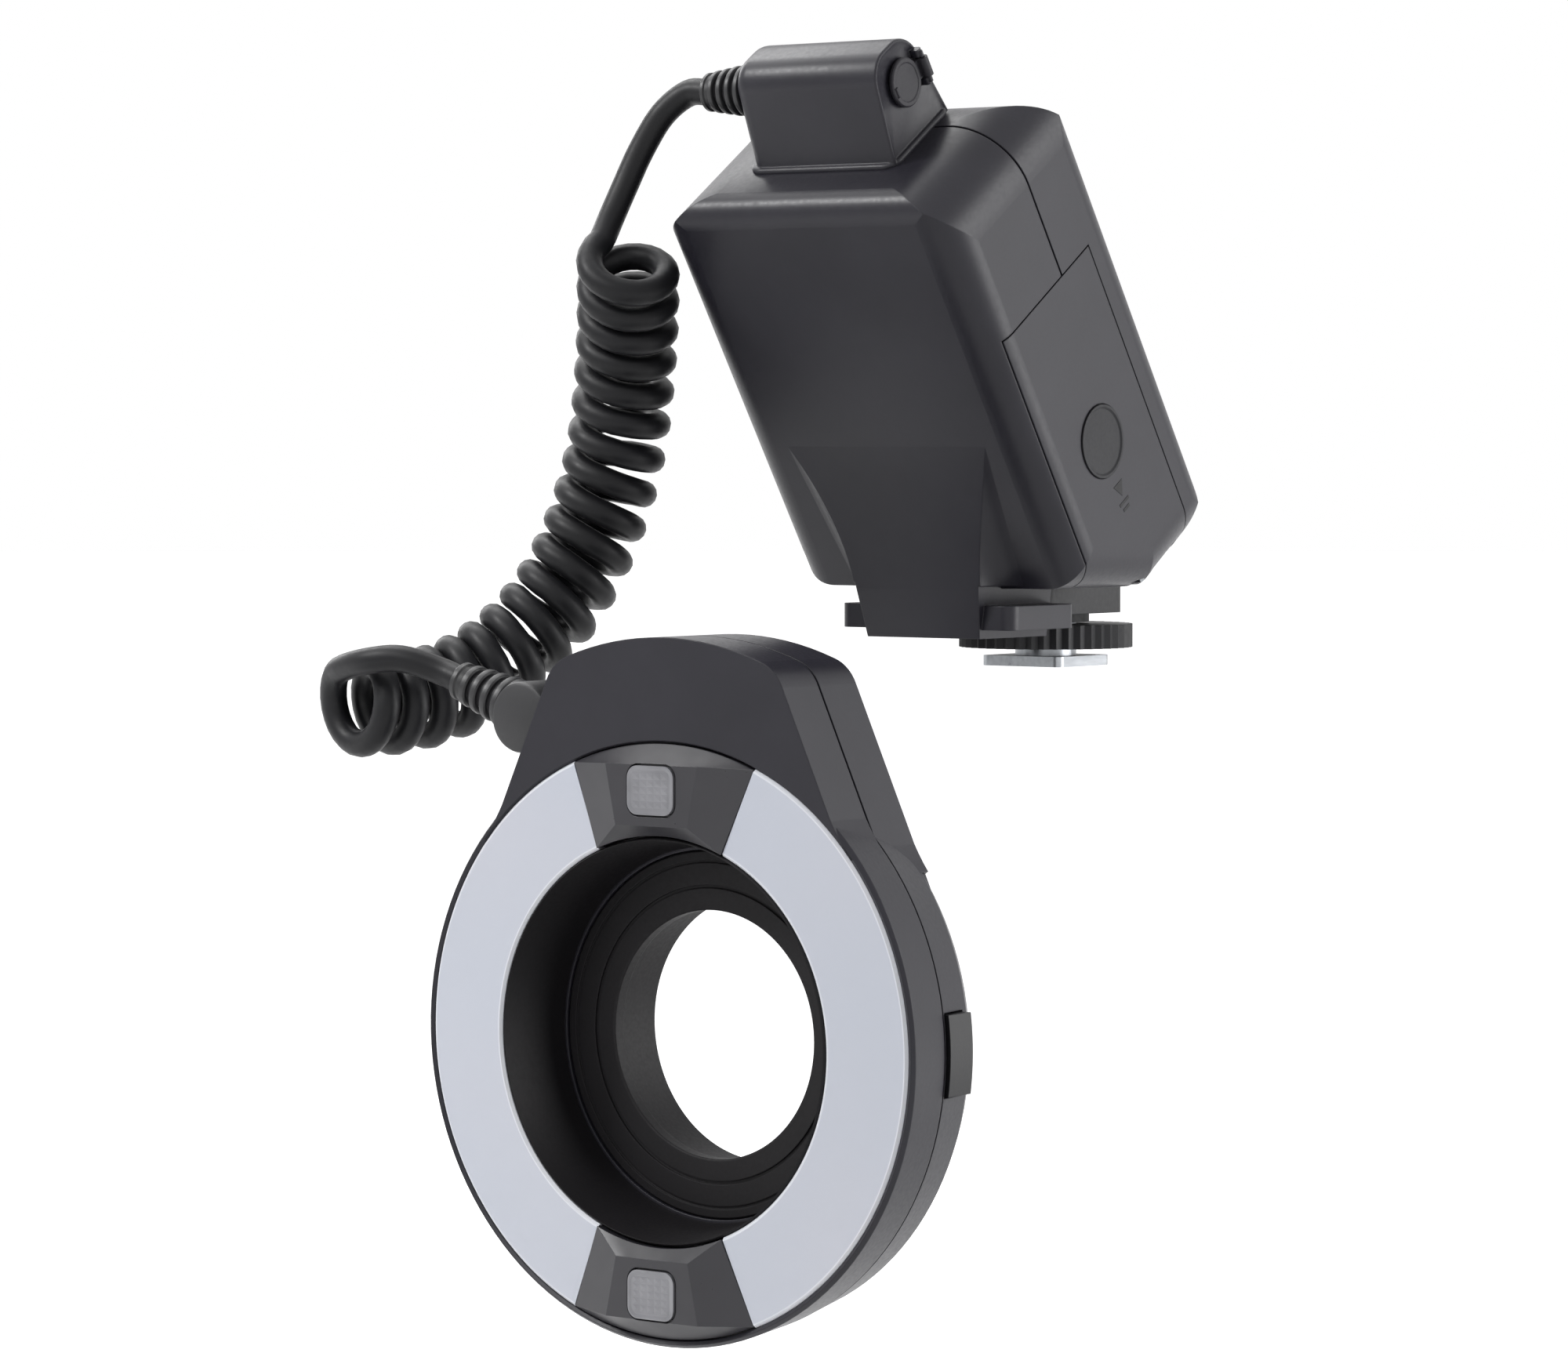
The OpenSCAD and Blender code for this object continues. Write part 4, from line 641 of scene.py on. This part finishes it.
boss = turned("cord_boss", [(0, -6), (5.7, -6), (6.3, -5.75), (6.55, -5.2), (6.55, 5.4), (6.2, 5.9),
                            (0, 5.95)])
boss.data.transform(Matrix.Translation(boss_at * MM) @ Matrix.Rotation(-pi / 2, 4, "X"))
ring_ribs = [(r, h + RING_BOOT_FROM) for r, h in boot_section(RING_BOOT_L)[2:]]
ring_boot = turned("ring_boot", [(0, 0), (4.95, 0), (4.95, 6.4)] + ring_ribs)
ring_boot.data.transform(Matrix.Translation(boss_at * MM) @ Matrix.Rotation(-pi / 2 + BOOT_TILT, 4, "Y"))
ring_boot = joined("cord_boot_ring", [boss, ring_boot])
settle(ring_boot, Matrix.Identity(4), elastomer_black, "control_unit")
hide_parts("ring_gland")
print("strain reliefs:", len(head_boot.data.polygons), len(ring_boot.data.polygons), "faces")

# %% [markdown]
# The cord head sits on the housing like a small saddle. Its left end, where the cord leaves, is well
# rounded, and its right end is a plate set back inside a thin border. A block is the start: the top is
# pulled in, its two long edges and the left end are bevelled to their radii, and the right end is inset
# and pushed back. A low flange runs round its foot and catches the light, and a Boolean opens the socket.

# %% Cord head
HEAD = UNIT @ at(0, 0, 101)


def block(name, low, high):
    bpy.ops.object.select_all(action="DESELECT")
    bpy.ops.mesh.primitive_cube_add(size=1, location=[(l + h) / 2 * MM for l, h in zip(low, high)],
                                    scale=[(h - l) * MM for l, h in zip(low, high)])
    bpy.ops.object.transform_apply(location=True, rotation=True, scale=True)
    bpy.context.object.name = name
    return bpy.context.object


def ends(piece, edge):
    return [piece.data.vertices[i].co / MM for i in edge.vertices]


def bevelled(piece, test, offset, segments):
    choose(piece, "EDGE", lambda e: test(*ends(piece, e)))
    bpy.ops.mesh.bevel(offset=offset * MM, segments=segments, affect="EDGES")
    bpy.ops.object.mode_set(mode="OBJECT")


saddle = block("cord_head_saddle", (-16.5, 12.2, 0), (16.5, 32.6, 19.5))
for test, shift in ((lambda v: v.co.z > 10 * MM and v.co.y < 20 * MM, 3.8),
                    (lambda v: v.co.z > 10 * MM and v.co.y > 20 * MM, -3.6)):
    choose(saddle, "VERT", test)
    bpy.ops.transform.translate(value=(0, shift * MM, 0))
    bpy.ops.object.mode_set(mode="OBJECT")
bevelled(saddle, lambda p, q: min(p.z, q.z) > 19 and max(p.y, q.y) < 20, 4.6, 12)
bevelled(saddle, lambda p, q: min(p.z, q.z) > 19 and min(p.y, q.y) > 28, 5.4, 12)
bevelled(saddle, lambda p, q: max(p.x, q.x) < -16.4 and max(p.z, q.z) > 0.1, 3.2, 8)
bevelled(saddle, lambda p, q: min(p.x, q.x) > 16.4 and max(p.z, q.z) > 0.1, 0.45, 3)
choose(saddle, "FACE", lambda f: f.normal.x > 0.99)
bpy.ops.mesh.inset(thickness=1.0 * MM)
bpy.ops.transform.translate(value=(-0.45 * MM, 0, 0))
bpy.ops.object.mode_set(mode="OBJECT")
bpy.ops.object.select_all(action="DESELECT")
bpy.ops.mesh.primitive_cylinder_add(vertices=64, radius=3.6 * MM, depth=12 * MM, rotation=(0, pi / 2, 0),
                                    location=(14.5 * MM, 23 * MM, 11.5 * MM))
cut(saddle, bpy.context.object, "socket_bore")

flange = block("head_flange", (-17.1, 11.3, -0.2), (16.9, 33.2, 0.9))
bevelled(flange, lambda p, q: abs(p.z - q.z) > 1, 3.2, 8)
bevelled(flange, lambda p, q: min(p.z, q.z) > 0.8, 0.6, 4)
EAR_T = 1.4
ears = []
for low in (7.9, 13.7):
    ears.append(block("ear", (15.6, 28.0, low), (18.0, 29.6, low + EAR_T)))
    bevelled(ears[-1], lambda p, q: min(p.x, q.x) > 17.9 and abs(p.z - q.z) > 1, 0.6, 4)
pin = turned("cover_pin", [(0, 0), (0.45, 0), (0.45, 6.4), (0, 6.4)], 24)
pin.data.transform(at(18.0, 28.8, 8.3))
saddle = joined("cord_head_saddle", [saddle, flange, *ears, pin])
settle(saddle, HEAD, abs_charcoal, "control_unit")
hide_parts("cord_head")
print("cord head:", len(saddle.data.polygons), "faces")

# %% [markdown]
# A soft flap covers the power socket. It is a disc with a finger lip, and an arm at the back ends in a
# small barrel round the hinge pin. The disc is turned, the arm is a block, and both ride on the cover's
# own body, so that the flap swings out with its joint.

# %% Socket cover
# Rubber of the flap: dyed like the housing, but dull.
rubber_charcoal = moulded("rubber_charcoal_dull", "#26252a", "#2c2b30", 0.6, 0.02, 0.5, 0.22, 0.2)
flap = turned("socket_flap", [(0, 0), (4.3, 0), (4.6, 0.25), (4.6, 0.75), (4.35, 1.0), (3.7, 1.0),
                              (3.5, 0.85), (0, 0.85)])
flap.data.transform(at(16.35, 23, 11.5) @ Matrix.Rotation(pi / 2, 4, "Y"))
arm = block("flap_arm", (16.45, 26.5, 9.7), (17.3, 28.9, 13.3))
barrel = turned("flap_barrel", [(0.5, 0), (0.95, 0), (0.95, 3.8), (0.5, 3.8), (0.5, 0)], 32)
barrel.data.transform(at(18.0, 28.8, 9.6))
web = block("flap_web", (16.6, 28.3, 9.7), (17.7, 29.3, 13.3))
lip = block("flap_lip", (17.2, 18.9, 10.5), (17.7, 19.6, 12.5))
bevelled(lip, lambda p, q: min(p.x, q.x) > 17.6, 0.2, 3)
flap = joined("socket_flap", [flap, arm, barrel, web, lip])
settle(flap, HEAD, rubber_charcoal, "socket_cover")
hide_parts("socket_cover")
print("socket flap:", len(flap.data.polygons), "faces")

# %% [markdown]
# The adapter is the ring that stays on the lens. It is turned from plastic with a real thread on its neck,
# a fine groove round its face and a step towards the sight hole. It turns with its own body, so the
# whole ring is one turned piece. The grooves run straight round, because at this size the slope of a
# thread can't be seen.

# %% Adapter ring
THREAD = 0.75
thread = []
for i in range(6):
    low = 24.5 + i * THREAD
    thread += [(25.55, low), (25.95, low + 0.3), (25.95, low + 0.4), (25.55, low + 0.7)]
adapter = turned("lens_adapter", [
    (22.6, 14.9), (22.9, 14.65), (26.6, 14.65), (26.6, 15.1), (27.2, 15.1), (27.2, 14.65), (31.2, 14.65),
    (31.2, 14.95), (31.7, 14.95), (31.7, 14.65), (33.2, 14.65), (33.5, 14.95), (33.5, 19.1), (32.1, 19.1),
    (32.1, 20.9), (33.5, 20.9), (33.5, 23.7), (33.2, 23.95), (26, 23.95), (25.55, 24.1)] + thread + [
    (25.4, 29), (24.6, 29), (24.4, 28.8), (24.4, 17.6), (22.6, 17.2), (22.6, 14.9)], 144)
settle(adapter, RING, abs_matt_black, "adapter_ring")
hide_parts("adapter_ring")
print("adapter:", len(adapter.data.polygons), "faces")

# %% [markdown]
# Screws hold the shells from behind. A screw is turned, and its cross recess is cut by two small blocks
# with a Boolean. One screw is modelled and then copied to each of its places, every copy with a mesh of
# its own, and the copies are joined so that they stand for the one node of their group.

# %% Screws
def screw(name, shank):
    piece = turned(name, [(0, 1), (1.5, 1), (2.0, 0.86), (2.18, 0.55), (2.18, 0), (1.15, 0),
                          (1.15, -shank + 0.5), (0.7, -shank), (0, -shank)], 40)
    for turn in (0, pi / 2):
        bpy.ops.object.select_all(action="DESELECT")
        bpy.ops.mesh.primitive_cube_add(size=1, location=(0, 0, 0.9 * MM), rotation=(0, 0, turn + 0.4),
                                        scale=(2.6 * MM, 0.55 * MM, 1.0 * MM))
        cut(piece, bpy.context.object, "cross_recess")
    return piece


def scattered(name, model, places):
    copies = []
    for place in places:
        copy = model.copy()
        copy.data = model.data.copy()
        copy.data.transform(place)
        scene.collection.objects.link(copy)
        copies.append(copy)
    bpy.data.objects.remove(model)
    return joined(name, copies)


towards_back = Matrix.Rotation(-pi / 2, 4, "X")
CASE_SHANK = 16.5
RING_SHANK = 13
case_places = [UNIT @ at(x, 45, z) @ towards_back for x in (-24.6, 24.6) for z in (52.96, 79)]
case_screws = scattered("case_screws_cross", screw("case_screw", CASE_SHANK), case_places)
settle(case_screws, Matrix.Identity(4), black_steel, "control_unit")
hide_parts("case_screws")
ring_places = [Matrix.Translation(RING_AT * MM) @ Matrix.Rotation(radians(turn), 4, "Y") @ at(45, 22.4, 0)
               @ towards_back for turn in (45, 135, 225, 315)]
ring_screws = scattered("ring_screws_cross", screw("ring_screw", RING_SHANK), ring_places)
settle(ring_screws, Matrix.Identity(4), black_steel, "control_unit")
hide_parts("ring_screws")
print("screws:", len(case_screws.data.polygons), len(ring_screws.data.polygons), "faces")

# %% [markdown]
# The thumb pad tells the hand where to push the battery door. It is a soft disc set into the door, with a
# thin rim and a shallow dish. A cylinder is the start: its outer face is inset for the rim, inset again
# and pushed in for the dish, and the rim's edge is bevelled.

# %% Thumb pad
bpy.ops.object.select_all(action="DESELECT")
bpy.ops.mesh.primitive_cylinder_add(vertices=72, radius=6.95 * MM, depth=0.9 * MM, location=(0, 0, 0))
pad = bpy.context.object
pad.name = "thumb_pad_dished"
choose(pad, "FACE", lambda f: f.normal.z > 0.9)
bpy.ops.mesh.inset(thickness=0.45 * MM)
bpy.ops.mesh.inset(thickness=0.35 * MM)
bpy.ops.transform.translate(value=(0, 0, -0.3 * MM))
bpy.ops.mesh.inset(thickness=2.2 * MM)
bpy.ops.transform.translate(value=(0, 0, -0.12 * MM))
bpy.ops.mesh.inset(thickness=2.2 * MM)
bpy.ops.transform.translate(value=(0, 0, -0.05 * MM))
bpy.ops.object.mode_set(mode="OBJECT")
PAD_Y = 20.4
settle(pad, UNIT @ at(32.85, PAD_Y, 35.08) @ Matrix.Rotation(pi / 2, 4, "Y"), rubber_soft, "battery_door")
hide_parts("door_thumb_pad")
print("thumb pad:", len(pad.data.polygons), "faces")

# %% [markdown]
# Below the pad, the door carries marks that say which way to push: an arrow head and two short strokes.
# They are moulded a tenth of a millimetre proud. A triangle and a plane are enough to start from, and an
# extrude gives them their height.

# %% Door marks
# Printing ink: a dull black film that marks the charcoal plastic.
ink_black = moulded("ink_black_dull", "#141416", "#1a1a1c", 0.8, 0.004, 0.55, 0.25, 0.05)
# Printing ink in pale grey, for the marks on the black keys and the rear panel.
ink_pale = moulded("ink_pale_grey", "#b9bbbf", "#c6c8cb", 0.8, 0.004, 0.5, 0.4, 0.05)


def raised(name, outline, place, finish, body, height=0.1):
    piece = outline()
    piece.name = name
    choose(piece, "FACE", lambda f: True)
    bpy.ops.mesh.extrude_region_move(TRANSFORM_OT_translate={"value": (0, 0, height * MM)})
    bpy.ops.mesh.select_all(action="SELECT")
    bpy.ops.mesh.normals_make_consistent(inside=False)
    bpy.ops.object.mode_set(mode="OBJECT")
    return settle(piece, place, finish, body)


def plane(width, height):
    bpy.ops.object.select_all(action="DESELECT")
    bpy.ops.mesh.primitive_plane_add(size=1, location=(0, 0, 0))
    bpy.ops.transform.resize(value=(width * MM, height * MM, 1))
    bpy.ops.object.transform_apply(location=True, rotation=True, scale=True)
    return bpy.context.object


def disc(radius, corners):
    bpy.ops.object.select_all(action="DESELECT")
    bpy.ops.mesh.primitive_circle_add(vertices=corners, radius=radius * MM, fill_type="NGON",
                                      location=(0, 0, 0))
    return bpy.context.object


DOOR_SIDE = UNIT @ Matrix(((0, 0, 1, 0), (1, 0, 0, 0), (0, 1, 0, 0), (0, 0, 0, 1)))
DOOR_FACE = 32.97
STROKE_T = 0.6
arrow_place = DOOR_SIDE @ at(PAD_Y, 24.6, DOOR_FACE) @ Matrix.Rotation(pi, 4, "Z")
arrow = raised("door_arrow", lambda: disc(1.9, 3), arrow_place, ink_black, "battery_door")
for i, (width, up) in enumerate(((3.4, 21.4), (2.2, 20.0))):
    raised(f"door_stroke_{i + 1}", lambda: plane(width, STROKE_T), DOOR_SIDE @ at(PAD_Y, up, DOOR_FACE),
           ink_black, "battery_door")
print("arrow at", [round(v, 4) for v in arrow.data.vertices[0].co])

# %% [markdown]
# The rear panel is where the hand works. Each key carries a small pale sign: strokes and dots that anyone
# can read, a minus, a plus, a ring to confirm. They are built from planes and discs like the door marks,
# and each rides on its own key, so that it goes down with it.

# %% Signs on the keys
PANEL = UNIT @ Matrix(((-1, 0, 0, 0), (0, 0, 1, 0), (0, 1, 0, 0), (0, 0, 0, 1)))
KEY_TOP = 46.78
SIGN_T = 0.07
UPPER_ROW = 51.5
LOWER_ROW = 38.5
# A bar has its width and height, a disc its radius and corners, and both have their place on the key.
signs = {
    "light_button": (15, UPPER_ROW, [
        ("disc", 0.8, 24, 0, 0), ("bar", 0.5, 2.6, -1.9, 0), ("bar", 0.5, 2.6, 1.9, 0)]),
    "mode_button": (5, UPPER_ROW, [
        ("bar", 3.0, 0.45, 0, 0.9), ("bar", 3.0, 0.45, 0, 0), ("bar", 3.0, 0.45, 0, -0.9)]),
    "sync_button": (-5, UPPER_ROW, [
        ("disc", 0.9, 3, -1.2, 0), ("disc", 0.9, 3, 0.4, 0), ("bar", 0.5, 1.8, 1.9, 0)]),
    "ratio_button": (-15, UPPER_ROW, [
        ("disc", 0.6, 24, 0, 0.9), ("disc", 0.6, 24, 0, -0.9), ("bar", 0.5, 2.4, -1.8, 0),
        ("bar", 0.5, 2.4, 1.8, 0)]),
    "minus_button": (11.5, LOWER_ROW, [("bar", 3.6, 0.8, 0, 0)]),
    "set_button": (0, LOWER_ROW, [("disc", 1.5, 32, 0, 0)]),
    "plus_button": (-11.5, LOWER_ROW, [("bar", 3.6, 0.8, 0, 0), ("bar", 0.8, 3.6, 0, 0)]),
}
count = 0
for key, (across, up, strokes) in signs.items():
    for kind, size, more, dx, dy in strokes:
        count += 1
        place = PANEL @ at(across + dx, up + dy, KEY_TOP)
        if kind == "disc" and more == 3:
            place = place @ Matrix.Rotation(-pi / 2, 4, "Z")
        outline = plane if kind == "bar" else disc
        raised(f"{key}_sign_{count}", lambda: outline(size, more), place, ink_pale, key,
               SIGN_T)
print("signs:", count)

# %% [markdown]
# The display shows what such a display shows: a ratio, a fraction of full power and a row of segments. The
# figures are text that is made a mesh before it gets its place, and they lie on the panel behind the
# clear window. The switch has its two plain words printed on the housing.

# %% Figures and words
# Liquid crystal: near-black with the faintest green, as the cells look when they are on.
crystal = moulded("liquid_crystal_dark", "#1b211d", "#202722", 2.0, 0.001, 0.35, 0.3, 0.02)


def figure(name, words, size, place, finish):
    bpy.ops.object.select_all(action="DESELECT")
    bpy.ops.object.text_add(location=(0, 0, 0))
    piece = bpy.context.object
    piece.name = name
    piece.data.body = words
    piece.data.size = size * MM
    piece.data.extrude = 0.03 * MM
    piece.data.align_x = "CENTER"
    piece.data.align_y = "CENTER"
    bpy.ops.object.convert(target="MESH")
    return settle(bpy.context.object, place, finish, "control_unit")


FILM = 44.04
figure("display_ratio", "1:2", 7.5, PANEL @ at(-8, 73.5, FILM), crystal)
figure("display_power", "1/16", 5.5, PANEL @ at(9, 74.0, FILM), crystal)
figure("display_step", "-0.7", 4.2, PANEL @ at(10, 67.0, FILM), crystal)
for i in range(11):
    raised(f"display_segment_{i + 1}", lambda: plane(1.5, 2.4 if i % 5 == 0 else 1.5),
           PANEL @ at(-15 + 2.0 * i, 63.5, FILM - 0.02), crystal, "control_unit", 0.05)
PANEL_FACE = 46.02
figure("word_off", "OFF", 2.4, PANEL @ at(13, 29, PANEL_FACE), ink_pale)
figure("word_on", "ON", 2.4, PANEL @ at(5.5, 29, PANEL_FACE), ink_pale)
print("figures on the display at", FILM, "mm")

# %% [markdown]
# Between the two diffusers sit the lamp bridges: polished hipped blocks that rise from the ring. Their
# section is turned through the angle of the gap only. The crown is then drawn together and its edges
# are made straight, which leaves a bright band outside, a band inside and a slanting facet at each end.
# The window's seat is cut by a rounded block, and the facets keep hard edges.

# %% Lamp bridges
BRIDGE_HALF = radians(22.3)
CROWN_IN = 38.8
CROWN_OUT = 49.8
CROWN_SHARE = 0.55
BRIDGE_SECTION = [(36.95, 2.1), (36.95, -1.3), (CROWN_IN, -3.4), (CROWN_OUT, -3.4), (53.4, 0.1), (53.4, 2.1),
                  (36.95, 2.1)]


def lamp_bridge(name):
    bridge = turned(name, BRIDGE_SECTION, 28, 2 * BRIDGE_HALF)
    bridge.data.transform(Matrix.Rotation(-pi / 2 + BRIDGE_HALF, 4, "Z"))
    reach = sin(BRIDGE_HALF) - 0.002
    for side in (-1, 1):
        for low, high in ((-2.0, 3.0), (-4.0, 1.0)):
            choose(bridge, "VERT", lambda v: side * v.co.x > reach * v.co.xy.length
                   and low * MM < v.co.z < high * MM)
            bpy.ops.mesh.edge_face_add()
            bpy.ops.object.mode_set(mode="OBJECT")
    for low, high, line in ((30, 44, CROWN_IN), (44, 60, CROWN_OUT)):
        choose(bridge, "VERT", lambda v: v.co.z < -3 * MM and low * MM < v.co.xy.length < high * MM)
        bpy.ops.transform.resize(value=(CROWN_SHARE, 0, 1), center_override=(0, -line * MM, 0))
        bpy.ops.object.mode_set(mode="OBJECT")
    choose(bridge, "FACE", lambda f: True)
    bpy.ops.mesh.normals_make_consistent(inside=False)
    bpy.ops.object.mode_set(mode="OBJECT")
    seat = block("window_seat", (-5.55, -49.95, -8), (5.55, -40.45, -2.0))
    bevelled(seat, lambda p, q: abs(p.z - q.z) > 1, 2.5, 8)
    cut(bridge, seat, "window_seat")
    return bridge


for name, turn in (("top", 0), ("bottom", pi)):
    place = RING @ Matrix.Rotation(turn, 4, "Z")
    bridge = settle(lamp_bridge(f"lamp_bridge_{name}_hipped"), place, abs_polished, "control_unit",
                    14)
    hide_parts(f"lamp_bridge_{name}")
print("bridges:", len(bridge.data.polygons), "faces each")

# %% [markdown]
# A focusing lamp shines through a square window of smoky plastic. Its face is framed by a thin groove and
# carries a low relief of flat prisms. A plane is subdivided and its faces are poked into points for the
# prisms, and the sheet is set into a rounded frame that starts as a block.

# %% Lamp windows
def lamp_window(name):
    window = block(name, (-5.2, -4.4, 0), (5.2, 4.4, 1.7))
    bevelled(window, lambda p, q: abs(p.z - q.z) > 1, 2.2, 8)
    choose(window, "FACE", lambda f: f.normal.z > 0.9)
    bpy.ops.mesh.inset(thickness=0.3 * MM)
    bpy.ops.mesh.inset(thickness=0.5 * MM)
    bpy.ops.transform.translate(value=(0, 0, -0.1 * MM))
    bpy.ops.object.mode_set(mode="OBJECT")
    prisms = plane(8.0, 6.4)
    bpy.ops.object.mode_set(mode="EDIT")
    bpy.ops.mesh.select_all(action="SELECT")
    bpy.ops.mesh.subdivide(number_cuts=4)
    bpy.ops.mesh.poke(offset=0.07 * MM)
    bpy.ops.object.mode_set(mode="OBJECT")
    prisms.data.transform(at(0, 0, 1.62))
    return joined(name, [window, prisms])


for name, turn in (("top", 0), ("bottom", pi)):
    place = Matrix.Translation(RING_AT * MM) @ Matrix.Rotation(turn, 4, "Y") @ at(0, -2.0, 45.2)
    window = settle(lamp_window(f"lamp_prism_{name}"), place @ Matrix.Rotation(pi / 2, 4, "X"), lamp_lens,
                    "control_unit", 3)
    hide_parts(f"lamp_window_{name}")
print("lamp windows:", len(window.data.polygons), "faces each")

# %% [markdown]
# Behind each release button sits a spring that pushes it out. It is wire wound on a rod, so the same tube
# as the cord's makes it, along a plain helix, and the curve then becomes a mesh. When the button goes in,
# the spring gets shorter. Here each spring is wound from its seat and rides on the control unit.

# %% Release springs
WIRE_D = 0.6
SPRING_TURNS = 7
SPRING_SEAT = 38.4
spring_low, spring_high = [Vector(corner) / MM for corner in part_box("release_springs")]
spring_mid = (spring_low + spring_high) / 2
spring_r = (spring_high.y - spring_low.y - WIRE_D) / 2
spring_run = spring_high.x - SPRING_SEAT


def spring_point(share, side):
    turn = 2 * pi * SPRING_TURNS * share
    along = SPRING_SEAT + WIRE_D / 2 + (spring_run - WIRE_D) * share
    across = spring_mid.y + spring_r * cos(turn)
    return Vector((side * along, across, spring_mid.z + spring_r * sin(turn))) * MM


wire_count = TURN_POINTS * SPRING_TURNS
for name, side in (("left", -1), ("right", 1)):
    wire = [spring_point(i / wire_count, side) for i in range(wire_count + 1)]
    spring = tube(f"release_spring_{name}", wire, WIRE_D, 2)
    bpy.ops.object.select_all(action="DESELECT")
    spring.select_set(True)
    bpy.context.view_layer.objects.active = spring
    bpy.ops.object.convert(target="MESH")
    settle(spring, Matrix.Identity(4), plated_steel, "control_unit")
    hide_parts("release_springs")
    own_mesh(spring)
print("springs:", round(spring_run, 2), "mm long,", len(spring.data.polygons), "faces each")

# %% [markdown]
# The last step has Blender work out the curve and the new meshes.

# %% Work out the curve and the meshes
bpy.context.view_layer.update()
